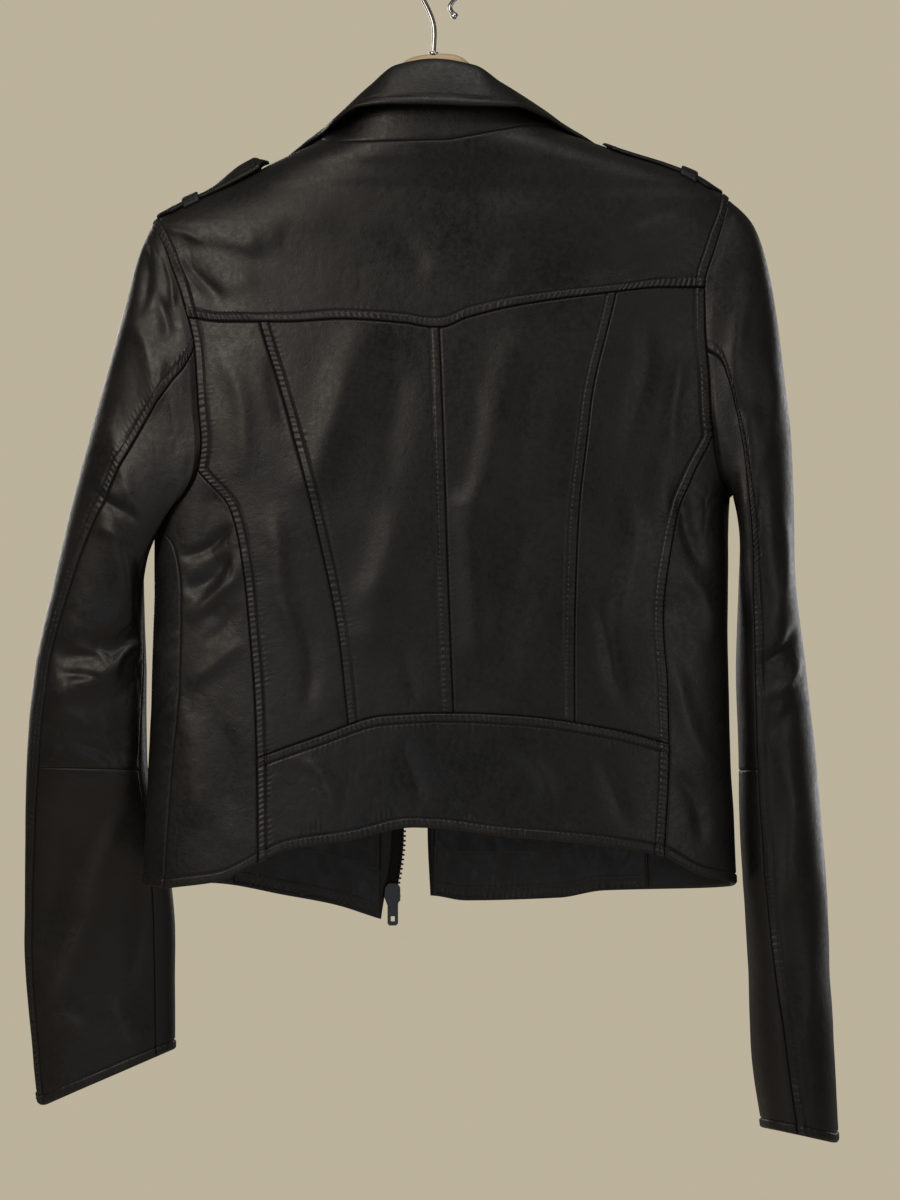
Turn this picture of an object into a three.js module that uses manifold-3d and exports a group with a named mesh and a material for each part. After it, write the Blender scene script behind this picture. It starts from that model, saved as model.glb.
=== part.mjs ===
// Cropped leather biker jacket hanging open on a wooden hanger.
// Millimetres, +Z up. +X is the wearer's right, -Y the back, +Y the front.
// The origin is the inner top of the hook's bend, where a rod carries the hanger.
import * as THREE from 'three';
import * as BufferGeometryUtils from 'three/addons/utils/BufferGeometryUtils.js';
import Module from 'manifold-3d';

const wasm = await Module();
wasm.setup();
const { lerp, degToRad, clamp, smoothstep } = THREE.MathUtils;

// ---------- driving dimensions ----------
const HOOK_RISE = 138;        // inner top of the hook above the nape of the neck, before the spread
const LEATHER = 2;            // a panel: leather with its turned seam allowance
const SEAM_GAP = 0.4;         // between two panels that are sewn together
const LAY_GAP = 0.5;          // between a panel and what lies on it
const BODY_SQUARE = 2.5;      // exponent of the body's rounded sections
const SLEEVE_SQUARE = 2.3;    // exponent of the sleeves' rounded sections
const FACING_HEIGHT = 38;     // leather strip inside the front hem
const FACING_LEATHER = 1.2;
const QUARTER = Math.PI / 2;
const SHOULDERS = { low: -140, high: 14 };    // heights between which the shoulder line is looked for

// The hanging jacket spreads towards its front. Lengths and widths are given as they are at the back's
// plane, and what stands in front of it is larger by 1 / REACH for each mm, about the middle of the back.
const SPREAD = { plane: -45, reach: 1250, x: 11.5, z: -322 };

// Tables below are in the nape's frame: z = 0 at the middle of the back neck seam.
// Sections of the body: reach to the left and right, and depth to the back and front.
const BODY = [
  { z: 14, left: 70, right: 80, back: 48, front: 42 },
  { z: 5, left: 76, right: 92, back: 50, front: 42 },
  { z: 1, left: 79, right: 104, back: 50, front: 42 },
  { z: -10, left: 100, right: 137, back: 49, front: 41 },
  { z: -18, left: 116, right: 163, back: 47, front: 40 },
  { z: -27, left: 133, right: 185, back: 46, front: 40 },
  { z: -34, left: 148, right: 196, back: 45, front: 40 },
  { z: -42, left: 167, right: 207, back: 45, front: 40 },
  { z: -50, left: 184, right: 211, back: 45, front: 40 },
  { z: -59, left: 197, right: 212, back: 45, front: 40 },
  { z: -75, left: 200, right: 213, back: 45, front: 41 },
  { z: -120, left: 200, right: 213, back: 47, front: 43 },
  { z: -200, left: 197, right: 212, back: 50, front: 46 },
  { z: -264, left: 195, right: 207, back: 50, front: 47 },
  { z: -340, left: 196, right: 206, back: 49, front: 48 },
  { z: -430, left: 199, right: 208, back: 51, front: 51 },
  { z: -500, left: 203, right: 211, back: 55, front: 55 },
  { z: -565, left: 206, right: 213, back: 58, front: 58 },
];

// Armhole: how far out its back and front edge lie at each height.
const ARMHOLE = {
  left: { sign: -1, tip: -59, pit: -264, yoke: -124, panel: -231, rows: [
    { z: -59, x: 197 }, { z: -73, x: 189 }, { z: -89, x: 183 }, { z: -113, x: 175 }, { z: -143, x: 168 },
    { z: -187, x: 165 }, { z: -211, x: 163 }, { z: -229, x: 165 }, { z: -250, x: 176 }, { z: -264, x: 195 },
  ] },
  right: { sign: 1, tip: -42, pit: -248, yoke: -103, panel: -207, rows: [
    { z: -42, x: 207 }, { z: -60, x: 202 }, { z: -76, x: 197 }, { z: -103, x: 190 }, { z: -129, x: 190 },
    { z: -167, x: 193 }, { z: -190, x: 194 }, { z: -209, x: 196 }, { z: -232, x: 200 }, { z: -248, x: 208.3 },
  ] },
};

// Soft folds that the hanging leather takes: a line from (x1, z1) to (x2, z2),
// its half width, and how far it stands out (or in, where negative).
const FOLDS = {
  back: [
    { x1: -52, z1: -140, x2: -84, z2: -235, wide: 16, out: 2.5 },
    { x1: -24, z1: -270, x2: -46, z2: -345, wide: 14, out: 2 },
    { x1: 56, z1: -150, x2: 32, z2: -250, wide: 15, out: 2.5 },
    { x1: 24, z1: -255, x2: 30, z2: -350, wide: 11, out: 2 },
    { x1: 170, z1: -208, x2: 160, z2: -255, wide: 12, out: 2.5 },
    { x1: 168, z1: -330, x2: 190, z2: -420, wide: 12, out: -3 },
    { x1: -155, z1: -255, x2: -160, z2: -330, wide: 11, out: -4 },
    { x1: -168, z1: -330, x2: -140, z2: -300, wide: 9, out: 2.5 },
    { x1: -186, z1: -62, x2: -130, z2: -74, wide: 9, out: 2 },
    { x1: -176, z1: -80, x2: -152, z2: -112, wide: 9, out: -2.5 },
    { x1: -255, z1: -360, x2: -212, z2: -352, wide: 9, out: -5 },
    { x1: -262, z1: -388, x2: -226, z2: -372, wide: 9, out: 4 },
    { x1: -218, z1: -446, x2: -250, z2: -560, wide: 14, out: 3 },
    { x1: -228, z1: -250, x2: -208, z2: -330, wide: 11, out: 3 },
    { x1: 222, z1: -197, x2: 224, z2: -420, wide: 9, out: 3 },
    { x1: 262, z1: -345, x2: 236, z2: -372, wide: 9, out: -3 },
  ],
  front: [
    { x1: -120, z1: -240, x2: -70, z2: -330, wide: 18, out: 3 },
    { x1: -160, z1: -300, x2: -120, z2: -420, wide: 16, out: -3 },
    { x1: 130, z1: -230, x2: 90, z2: -330, wide: 18, out: 3 },
    { x1: 160, z1: -330, x2: 130, z2: -460, wide: 16, out: -3 },
    { x1: -262, z1: -350, x2: -214, z2: -366, wide: 10, out: -4 },
    { x1: -258, z1: -420, x2: -226, z2: -560, wide: 14, out: 3 },
    { x1: 240, z1: -380, x2: 252, z2: -360, wide: 10, out: -4 },
    { x1: 246, z1: -430, x2: 256, z2: -600, wide: 12, out: 3 },
  ],
};

// Seams, as (x, z) on the back or the front of the body.
const YOKE_SEAM = [
  { x: -147, z: -127 }, { x: -103, z: -127 }, { x: -63, z: -125 }, { x: -20, z: -128 }, { x: 4, z: -131 },
  { x: 24, z: -124 }, { x: 62, z: -115 }, { x: 120, z: -107 }, { x: 162, z: -103 },
];
const CENTRE_SEAM = [{ x: 4, z: -131 }, { x: 7, z: -207 }, { x: 10, z: -300 }, { x: 14, z: -401 }];
const DART = {
  left: [{ x: -122, z: -127 }, { x: -103, z: -191 }, { x: -82, z: -272 }, { x: -67, z: -345 }, { x: -60, z: -409 }],
  right: [{ x: 128, z: -106 }, { x: 110, z: -187 }, { x: 101, z: -280 }, { x: 99, z: -340 }, { x: 99, z: -408 }],
};
const PANEL_SEAM = {   // between the back and its side panel, hem upwards
  left: [{ x: -123, z: -506 }, { x: -124, z: -433 }, { x: -125, z: -398 }, { x: -129, z: -345 },
    { x: -134, z: -297 }, { x: -143, z: -258 }],
  right: [{ x: 162, z: -501 }, { x: 165, z: -423 }, { x: 164, z: -385 }, { x: 161, z: -336 },
    { x: 168, z: -278 }, { x: 182, z: -234 }],
};
const BAND_SEAM = [
  { x: -80, z: -417 }, { x: -36, z: -403 }, { x: 14, z: -401 }, { x: 60, z: -403 }, { x: 123, z: -412 },
];
const BAND_HEM = [
  { x: -103, z: -497 }, { x: -58, z: -490 }, { x: -14, z: -481 }, { x: 45, z: -487 }, { x: 112, z: -493 },
];
const SIDE_SEAM = {    // between the side panel and the front, hem upwards
  left: [{ x: -189, z: -524 }, { x: -184, z: -450 }, { x: -178, z: -380 }, { x: -177, z: -320 }, { x: -182, z: -285 }],
  right: [{ x: 209, z: -522 }, { x: 207, z: -450 }, { x: 205, z: -380 }, { x: 204.8, z: -320 }, { x: 205.6, z: -280 }],
};
const FRONT_HEM = {    // from the front edge to the side
  left: [{ x: -37, z: -545 }, { x: -69, z: -535 }, { x: -103, z: -528.5 }, { x: -152, z: -520 }, { x: -197, z: -518 }],
  right: [{ x: -2, z: -528.5 }, { x: 23, z: -532 }, { x: 89, z: -530 }, { x: 120, z: -525 }, { x: 196, z: -523 }],
};
const FRONT_EDGE = {   // hem, break of the lapel, then the roll line up to the neck point
  left: [{ x: -37, z: -545 }, { x: -29, z: -486 }, { x: -30, z: -339 }, { x: -36, z: -190 }, { x: -54, z: -110 },
    { x: -67, z: -50 }, { x: -76, z: -12 }],
  right: [{ x: -2, z: -528.5 }, { x: -4, z: -482 }, { x: -4, z: -357 }, { x: -3, z: -220 }, { x: 30, z: -130 },
    { x: 66, z: -50 }, { x: 86, z: -8 }],
};
const NECK_POINT = { left: { x: -79, z: 1 }, right: { x: 92, z: 5 } };
const NECK_SEAM = [{ x: -53, z: -1 }, { x: 0, z: 0 }, { x: 25, z: 3 }, { x: 46, z: 7 }, { x: 70, z: 11 }];

// Sleeve rings: each is an oval between its outer point (ox, oz) and its inner one (ix, iz),
// with y its middle and deep its half depth. seam and inner are the places, in degrees
// round the oval from the outer point over the back, of the two lengthwise seams.
// fit is how much of the armhole's own outline the ring still has.
const SLEEVE = {
  left: [
    { ox: -197, oz: -59, ix: -195, iz: -264, y: 0, deep: 33, seam: 88, inner: 180, fit: 1 },
    { ox: -207, oz: -84, ix: -197.5, iz: -269, y: 2, deep: 35, seam: 84, inner: 180, fit: 0.86 },
    { ox: -218, oz: -124, ix: -200, iz: -275, y: 4, deep: 37, seam: 79, inner: 179, fit: 0.7 },
    { ox: -235, oz: -187, ix: -202, iz: -285, y: 7, deep: 38, seam: 71, inner: 177, fit: 0.48 },
    { ox: -250, oz: -243, ix: -203, iz: -300, y: 11, deep: 38, seam: 63, inner: 174, fit: 0.26 },
    { ox: -265, oz: -305, ix: -202.5, iz: -330, y: 15, deep: 36, seam: 51, inner: 168, fit: 0.08 },
    { ox: -279, oz: -368, ix: -201.5, iz: -372, y: 20, deep: 34, seam: 43, inner: 160, fit: 0 },
    { ox: -285, oz: -430, ix: -200.5, iz: -432, y: 27, deep: 31, seam: 39, inner: 148, fit: 0 },
    { ox: -286, oz: -490, ix: -188, iz: -488, y: 45, deep: 27, seam: 31, inner: 138, fit: 0 },
    { ox: -286, oz: -560, ix: -181, iz: -552, y: 62, deep: 24, seam: 26, inner: 134, fit: 0 },
    { ox: -281, oz: -635, ix: -181, iz: -605, y: 68, deep: 22, seam: 25, inner: 134, fit: 0 },
    { ox: -277, oz: -677, ix: -181, iz: -636, y: 70, deep: 22, seam: 25, inner: 134, fit: 0 },
  ],
  right: [
    { ox: 207, oz: -42, ix: 208.3, iz: -248, y: 0, deep: 33, seam: 88, inner: 180, fit: 1 },
    { ox: 224, oz: -60, ix: 210.5, iz: -254, y: 3, deep: 38, seam: 90, inner: 181, fit: 0.86 },
    { ox: 236, oz: -98, ix: 212.5, iz: -261, y: 6, deep: 42, seam: 95, inner: 183, fit: 0.7 },
    { ox: 245, oz: -158, ix: 214, iz: -271, y: 10, deep: 45, seam: 101, inner: 187, fit: 0.48 },
    { ox: 251, oz: -222, ix: 214, iz: -286, y: 13, deep: 47, seam: 106, inner: 192, fit: 0.26 },
    { ox: 253, oz: -290, ix: 213, iz: -315, y: 16, deep: 48, seam: 110, inner: 198, fit: 0.08 },
    { ox: 259, oz: -360, ix: 212, iz: -365, y: 20, deep: 49, seam: 114, inner: 204, fit: 0 },
    { ox: 267, oz: -428, ix: 213, iz: -430, y: 24, deep: 49, seam: 117, inner: 208, fit: 0 },
    { ox: 274, oz: -505, ix: 216, iz: -505, y: 30, deep: 48, seam: 117, inner: 210, fit: 0 },
    { ox: 277, oz: -575, ix: 220, iz: -575, y: 34, deep: 46, seam: 108, inner: 208, fit: 0 },
    { ox: 281, oz: -640, ix: 222, iz: -636, y: 36, deep: 44, seam: 97, inner: 206, fit: 0 },
    { ox: 284, oz: -702, ix: 229, iz: -691, y: 38, deep: 42, seam: 92, inner: 205, fit: 0 },
  ],
};
const ELBOW_RING = 7.15;      // where the under sleeve's cross seam lies, in rings from the armhole
const CUFF_RING = 11;
const HEAD_ROLL = 0.6;        // how far the sleeve stands out past its seam, over the shoulder
const PIT_ROLL = 3.4;          // and under the arm

// Collar, from its left front end (v = -1) over the back (v = 0) to its right front end:
// the fold line between stand and fall, and the fall's outer edge.
const COLLAR = [
  { v: -1, fx: -60, fy: 54, fz: -54, ex: -124, ey: 52, ez: -76 },
  { v: -0.8, fx: -70, fy: 39, fz: -14, ex: -118, ey: 45, ez: -30 },
  { v: -0.65, fx: -72, fy: 14, fz: 4.5, ex: -94, ey: 18, ez: -5 },
  { v: -0.55, fx: -67, fy: -5, fz: 10, ex: -79.5, ey: -8, ez: 5 },
  { v: -0.42, fx: -55, fy: -23, fz: 21, ex: -70, ey: -34, ez: 14 },
  { v: -0.3, fx: -41, fy: -35, fz: 36, ex: -53, ey: -49, ez: 24 },
  { v: -0.18, fx: -26, fy: -42, fz: 49, ex: -32, ey: -56, ez: 25.5 },
  { v: 0, fx: 1, fy: -45, fz: 53.5, ex: 2, ey: -58, ez: 25 },
  { v: 0.18, fx: 29, fy: -42, fz: 49, ex: 34, ey: -56, ez: 24 },
  { v: 0.3, fx: 44, fy: -35, fz: 38, ex: 58, ey: -49, ez: 24 },
  { v: 0.42, fx: 60, fy: -23, fz: 27, ex: 78, ey: -34, ez: 17 },
  { v: 0.55, fx: 78, fy: -5, fz: 14, ex: 95, ey: -8, ez: 7.5 },
  { v: 0.65, fx: 82, fy: 14, fz: 8.5, ex: 110, ey: 22, ez: -0.5 },
  { v: 0.8, fx: 78, fy: 38, fz: -7, ex: 135, ey: 45, ez: -24 },
  { v: 1, fx: 58, fy: 53, fz: -50, ex: 135, ey: 52, ez: -70 },
];
const COLLAR_NECK_END = 0.6;  // v at the neck point; beyond it the stand follows the roll line
const COLLAR_TIGHT = 2;        // how much further the fall stands off the stand at its front ends
const COLLAR_FRONT_ROWS = 3;  // how many of the front's rows the collar reaches down the roll line

const LAPEL = {
  left: { top: { x: -71, z: -58 }, tip: { x: -142, z: -86 }, edge: [{ x: -112, z: -128 }, { x: -72, z: -168 }],
    foot: { x: -46, z: -192 }, breakAt: { x: -38, z: -192 } },
  right: { top: { x: 62, z: -58 }, tip: { x: 152, z: -86 }, edge: [{ x: 112, z: -136 }, { x: 54, z: -190 }],
    foot: { x: 8, z: -222 }, breakAt: { x: -2, z: -222 } },
};

// Its sewn end is hollowed to the armhole's curve and its neck end comes to a blunt point,
// both as shares of its length.
const STRAP = { width: 34, thick: 2.4, loopWide: 11, loopThick: 1.4, hollow: 0.13, point: 0.16, blunt: 1.6 };
const EPAULETTE = {    // along the shoulder: its sewn end, its point, its middle in y, how high it arches, its loop
  left: { from: -193, to: -114, y: 4, lift: 7, loop: -169 },
  right: { from: 202, to: 118, y: 3, lift: 0.2, loop: 178 },
};

const TAPE = { width: 8, thick: 1.2 };
const RIGHT_TAPE = { inFrom: 49, inTo: 69, width: 13, foot: -529.5, top: -255 };
// The slider's plates taper to their foot, and two ears on the outer one hold the pull's pin.
const SLIDER = { x: -28.7, z: -527.5, wide: 12, tall: 16, plate: 1.6, slot: 3, post: 2.2, corner: 3, foot: 2,
  taper: 0.6, ear: 1.4, earTall: 3.4 };
const PULL = { drop: 25, wide: 8, thick: 1.5, eye: 2.2, pin: 0.7, play: 0.3, neck: 6, corner: 1.5, window: 3,
  windowTall: 4, windowFoot: 3 };

// The hanger's wood: its height is `tall`, its `blunt` neck rises by `rise` over a half width of `neck`, its ends are
// thinned to `endTall`, and it lies `under` the outside of the leather. `arch` and `archFall` shape its underside.
const HANGER = { thick: 10, tall: 22, endTall: 17.5, reach: 150, rise: 60, neck: 42, blunt: 4, shoulder: 92,
  under: 3.6, middle: 4, arch: 34, archFall: 0.3 };
const HOOK = { wire: 1.7, radius: 21.7, x: 6, leanX: -7, leanZ: 98, straight: 81, flareX: 11.5, flareZ: 93,
  tipX: 14.5, tipZ: 87, ball: 2.6 };

// ---------- finishes ----------
const finish = (color, roughness, metalness) => new THREE.MeshStandardMaterial({ color, roughness, metalness });
const leather = finish(0x1b1a19, 0.42, 0);
const facingLeather = finish(0x141312, 0.5, 0);
const tapeCloth = finish(0x101011, 0.85, 0);
const zipMetal = finish(0x3a3836, 0.35, 0.9);
const wood = finish(0xc9a878, 0.45, 0);
const steel = finish(0xb9b9b6, 0.22, 1);

// ---------- curves through tables ----------
/** The smooth curve of one column against another, without overshoot. */
function follow(table, key, column) {
  const rows = [...table].sort((a, b) => a[key] - b[key]);
  const rise = rows.slice(1).map((row, i) => (row[column] - rows[i][column]) / (row[key] - rows[i][key]));
  const slope = rows.map((_, i) => {
    const before = rise[Math.max(i - 1, 0)];
    const after = rise[Math.min(i, rise.length - 1)];
    return before * after <= 0 ? 0 : 2 * before * after / (before + after);
  });
  return (at) => {
    const next = rows.findIndex((row, j) => j > 0 && at <= row[key]);
    const i = next < 0 ? rows.length - 2 : next - 1;
    const span = rows[i + 1][key] - rows[i][key];
    const u = clamp((at - rows[i][key]) / span, 0, 1);
    const rest = at - (rows[i][key] + u * span);
    const smooth = u * u * (3 - 2 * u);
    return lerp(rows[i][column], rows[i + 1][column], smooth)
      + span * u * (1 - u) * (slope[i] * (1 - u) - slope[i + 1] * u)
      + rest * (rest < 0 ? slope[i] : slope[i + 1]);
  };
}

const bodyAt = Object.fromEntries(['left', 'right', 'back', 'front'].map((c) => [c, follow(BODY, 'z', c)]));
const rounded = (value, square) => Math.sign(value) * Math.abs(value) ** (2 / square);

/** How far the folds lift the leather at (x, z) on its back or front face. */
function foldLift(x, z, face) {
  let lift = 0;
  for (const fold of FOLDS[face]) {
    const dx = fold.x2 - fold.x1;
    const dz = fold.z2 - fold.z1;
    const along = clamp(((x - fold.x1) * dx + (z - fold.z1) * dz) / (dx * dx + dz * dz), 0, 1);
    const away = Math.hypot(x - fold.x1 - along * dx, z - fold.z1 - along * dz) / fold.wide;
    lift += fold.out * Math.exp(-away * away);
  }
  return lift;
}

// ---------- the body's surface ----------
// phi runs round the body: 0 at the middle of the back, +90 degrees at the right side,
// -90 degrees at the left side, and on to the front either way.
function bodyPoint(phi, z) {
  const sin = Math.sin(phi);
  const cos = Math.cos(phi);
  const x = rounded(sin, BODY_SQUARE) * (sin < 0 ? bodyAt.left(z) : bodyAt.right(z));
  const face = cos > 0 ? 'back' : 'front';
  const depth = bodyAt[face](z) + foldLift(x, z, face) * smoothstep(Math.abs(cos), 0.3, 0.8);
  return new THREE.Vector3(x, -rounded(cos, BODY_SQUARE) * depth, z);
}

function bodyNormal(phi, z) {
  const turn = 0.004;
  const rise = 0.5;
  const across = bodyPoint(phi + turn, z).sub(bodyPoint(phi - turn, z));
  const up = bodyPoint(phi, z + rise).sub(bodyPoint(phi, z - rise));
  return across.cross(up).normalize();
}

/** The place on the body, as phi and z, of a point (x, z) on its back. */
function onBack({ x, z }) {
  const reach = x < 0 ? bodyAt.left(z) : bodyAt.right(z);
  const ratio = Math.min(Math.abs(x) / reach, 1) ** (BODY_SQUARE / 2);
  return { phi: Math.sign(x) * Math.asin(ratio), z };
}

/** The same for a point on the front, reached round the given side. */
function onFront({ x, z }, side) {
  const { phi } = onBack({ x, z });
  return { phi: (side === 'left' ? -Math.PI : Math.PI) - phi, z };
}

/** A run from 0 to 1 through places on the body, evenly by length. */
function runThrough(places) {
  let length = 0;
  const rows = places.map((place, i) => {
    if (i) {
      const before = places[i - 1];
      length += bodyPoint(place.phi, place.z).distanceTo(bodyPoint(before.phi, before.z));
    }
    return { u: length, ...place };
  });
  rows.forEach((row) => { row.u /= length; });
  const phi = follow(rows, 'u', 'phi');
  const z = follow(rows, 'u', 'z');
  return (u) => ({ phi: phi(u), z: z(u) });
}

/** The stretch of a run between two of its own places. */
const stretch = (run, from, to) => (u) => run(lerp(from, to, u));

/** The value between two where a test that holds at the low end stops holding. */
function lastWhere(test, low, high) {
  const HALVINGS = 40;
  let [holds, fails] = [low, high];
  for (let i = 0; i < HALVINGS; i += 1) {
    const middle = (holds + fails) / 2;
    if (test(middle)) holds = middle;
    else fails = middle;
  }
  return (holds + fails) / 2;
}
/** The height where a test that holds below the shoulders stops holding. */
const climb = (test) => lastWhere(test, SHOULDERS.low, SHOULDERS.high);

/** Where along a run its z or phi passes a value. */
function passes(run, key, value) {
  const rising = run(1)[key] > run(0)[key];
  return lastWhere((u) => (run(u)[key] < value) === rising, 0, 1);
}

/** Two runs end to end, meeting at `at`. */
const joined = (first, second, at) => (u) => (u <= at ? first(u / at) : second((u - at) / (1 - at)));

/** n + 1 even steps from a to b. */
const steps = (n, a = 0, b = 1) => Array.from({ length: n + 1 }, (_, i) => lerp(a, b, i / n));
/** Steps of two stretches that meet at `at`. */
const splitSteps = (n, m, at) => [...steps(n, 0, at), ...steps(m, at, 1).slice(1)];

/** A four-sided region between four runs that share their corners. */
function region({ left, right, bottom, top }) {
  return (s, t) => {
    const blend = (key) => (1 - s) * left(t)[key] + s * right(t)[key]
      + (1 - t) * bottom(s)[key] + t * top(s)[key]
      - (1 - s) * (1 - t) * bottom(0)[key] - s * (1 - t) * bottom(1)[key]
      - (1 - s) * t * top(0)[key] - s * t * top(1)[key];
    return { phi: blend('phi'), z: blend('z') };
  };
}

// ---------- solids ----------
/** A closed wall from a grid of [outer, inner] points; columns run so that up is on their left. */
function shell(grid) {
  const rows = grid.length;
  const columns = grid[0].length;
  const positions = [];
  grid.forEach((row) => row.forEach((pair) => pair.forEach((p) => positions.push(p.x, p.y, p.z))));
  const id = (i, j, inner) => 2 * (j * columns + i) + inner;
  const faces = [];
  const quad = (a, b, c, d) => faces.push(a, b, c, a, c, d);
  for (let j = 0; j < rows - 1; j += 1) {
    for (let i = 0; i < columns - 1; i += 1) {
      quad(id(i, j, 0), id(i + 1, j, 0), id(i + 1, j + 1, 0), id(i, j + 1, 0));
      quad(id(i, j, 1), id(i, j + 1, 1), id(i + 1, j + 1, 1), id(i + 1, j, 1));
    }
    const last = columns - 1;
    quad(id(0, j, 0), id(0, j + 1, 0), id(0, j + 1, 1), id(0, j, 1));
    quad(id(last, j, 1), id(last, j + 1, 1), id(last, j + 1, 0), id(last, j, 0));
  }
  for (let i = 0; i < columns - 1; i += 1) {
    const last = rows - 1;
    quad(id(i, 0, 1), id(i + 1, 0, 1), id(i + 1, 0, 0), id(i, 0, 0));
    quad(id(i, last, 0), id(i + 1, last, 0), id(i + 1, last, 1), id(i, last, 1));
  }
  const geometry = new THREE.BufferGeometry();
  geometry.setAttribute('position', new THREE.Float32BufferAttribute(positions, 3));
  geometry.setIndex(faces);
  return geometry;
}

/** Draws the edges of a grid of { point, normal } in by `inset` mm, square to each edge. */
function drawIn(grid, inset) {
  const last = { j: grid.length - 1, i: grid[0].length - 1 };
  const shift = (from, towards, before, after, normal) => {
    const along = after.clone().sub(before).normalize();
    const inward = towards.clone().sub(from);
    inward.addScaledVector(along, -inward.dot(along)).addScaledVector(normal, -inward.dot(normal));
    return inward.setLength(inset);
  };
  return grid.map((row, j) => row.map(({ point, normal }, i) => {
    const moved = point.clone();
    const at = (jj, ii) => grid[clamp(jj, 0, last.j)][clamp(ii, 0, last.i)].point;
    if (i === 0 || i === last.i) {
      moved.add(shift(point, at(j, i ? i - 1 : 1), at(j - 1, i), at(j + 1, i), normal));
    }
    if (j === 0 || j === last.j) {
      moved.add(shift(point, at(j ? j - 1 : 1, i), at(j, i - 1), at(j, i + 1), normal));
    }
    return { point: moved, normal };
  }));
}

/** A wall from a grid of { point, normal }: its outer face `out` above the points, `thick` through. */
const wallOn = (grid, out, thick) => shell(grid.map((row) => row.map(({ point, normal }) => [
  point.clone().addScaledVector(normal, out), point.clone().addScaledVector(normal, out - thick)])));

/** A panel on the body, over a region of it. */
function bodyPanel(place, columns, rows, { out = 0, thick = LEATHER, inset = SEAM_GAP / 2 } = {}) {
  const grid = rows.map((t) => columns.map((s) => {
    const { phi, z } = place(s, t);
    return { point: bodyPoint(phi, z), normal: bodyNormal(phi, z) };
  }));
  return wallOn(drawIn(grid, inset), out, thick);
}

/** A grid of { point, normal } on any surface point(s, t), with the surface's own normals. */
function gridOn(point, columns, rows, normalAt = () => null) {
  const small = 1e-3;
  return rows.map((t) => columns.map((s) => {
    const across = point(s + small, t).sub(point(s - small, t));
    const up = point(s, t + small).sub(point(s, t - small));
    return { point: point(s, t), normal: normalAt(s, t) ?? across.cross(up).normalize() };
  }));
}

/** A point of the garment with the spread for how far forward it stands. */
function spread(point) {
  const size = 1 + (point.y - SPREAD.plane) / SPREAD.reach;
  point.x = SPREAD.x + (point.x - SPREAD.x) * size;
  point.z = SPREAD.z + (point.z - SPREAD.z) * size;
  return point;
}

const garment = new THREE.Group();
garment.position.copy(spread(new THREE.Vector3(HOOK.x, 0, HOOK_RISE))).negate();
function add(name, geometry, material) {
  const places = geometry.attributes.position;
  for (let i = 0; i < places.count; i += 1) {
    const { x, y, z } = spread(new THREE.Vector3().fromBufferAttribute(places, i));
    places.setXYZ(i, x, y, z);
  }
  geometry.computeVertexNormals();
  const mesh = new THREE.Mesh(geometry, material);
  mesh.name = name;
  garment.add(mesh);
  return mesh;
}

// ---------- armholes ----------
const armOut = Object.fromEntries(['left', 'right'].map((side) => [side, follow(ARMHOLE[side].rows, 'z', 'x')]));

/** The armhole's edge, as phi and z: turn is 0 at the shoulder tip, 180 degrees at the pit, over the back. */
function armholePlace(side, turn) {
  const { sign, tip, pit } = ARMHOLE[side];
  const z = lerp(pit, tip, (1 + rounded(Math.cos(turn), SLEEVE_SQUARE)) / 2);
  const spot = { x: sign * armOut[side](z), z };
  const back = Math.sin(turn) >= 0;
  if (Math.abs(Math.sin(turn)) < 1e-6) return { phi: sign * QUARTER, z };
  return back ? onBack(spot) : onFront(spot, side);
}

/** The armhole's turn where its back edge has the given z. */
function armholeTurn(side, z) {
  const { tip, pit } = ARMHOLE[side];
  const height = 2 * (z - pit) / (tip - pit) - 1;
  return Math.acos(Math.sign(height) * Math.abs(height) ** (SLEEVE_SQUARE / 2));
}

// Turns at which the armhole's edge has corners, and the steps between them that all panels share.
const YOKE_STEPS = 6;
const BACK_STEPS = 5;
const UNDER_STEPS = 3;
const FRONT_STEPS = 12;
const armTurns = Object.fromEntries(['left', 'right'].map((side) => {
  const yoke = armholeTurn(side, ARMHOLE[side].yoke);
  const panel = armholeTurn(side, ARMHOLE[side].panel);
  return [side, { yoke, panel, list: [
    ...steps(FRONT_STEPS, -Math.PI, 0), ...steps(YOKE_STEPS, 0, yoke).slice(1),
    ...steps(BACK_STEPS, yoke, panel).slice(1), ...steps(UNDER_STEPS, panel, Math.PI).slice(1)] }];
}));
const armholeRun = (side, from, to) => (u) => armholePlace(side, lerp(from, to, u));

// ---------- seams as runs on the body ----------
const yokeEnd = { left: armholePlace('left', armTurns.left.yoke), right: armholePlace('right', armTurns.right.yoke) };
const yokeSeam = runThrough([yokeEnd.left, ...YOKE_SEAM.map(onBack), yokeEnd.right]);
const onYoke = (x, z) => yokeSeam(passes(yokeSeam, 'phi', onBack({ x, z }).phi));
const centreTop = onYoke(4, -131);
const dartTop = { left: onYoke(-122, -127), right: onYoke(128, -106) };
const panelSeam = {};
const bandCorner = {};
const sideSeam = {};
for (const side of ['left', 'right']) {
  const top = armholePlace(side, armTurns[side].panel);
  panelSeam[side] = runThrough([...PANEL_SEAM[side].map(onBack), top]);
  bandCorner[side] = passes(panelSeam[side], 'z', PANEL_SEAM[side][1].z);
  const pit = armholePlace(side, Math.PI);
  const places = SIDE_SEAM[side].map((spot) => (side === 'left' ? onBack(spot) : onFront(spot, side)));
  sideSeam[side] = runThrough([...places, pit]);
}
const bandSeam = runThrough([
  panelSeam.left(bandCorner.left), ...BAND_SEAM.map(onBack), panelSeam.right(bandCorner.right)]);
const onBand = (x, z) => bandSeam(passes(bandSeam, 'phi', onBack({ x, z }).phi));
const bandHem = runThrough([panelSeam.left(0), ...BAND_HEM.map(onBack), panelSeam.right(0)]);
const centreFoot = onBand(14, -401);
const dartFoot = { left: onBand(-60, -409), right: onBand(99, -408) };
const centreSeam = runThrough([centreFoot, ...CENTRE_SEAM.slice(1, 3).reverse().map(onBack), centreTop]);
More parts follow.
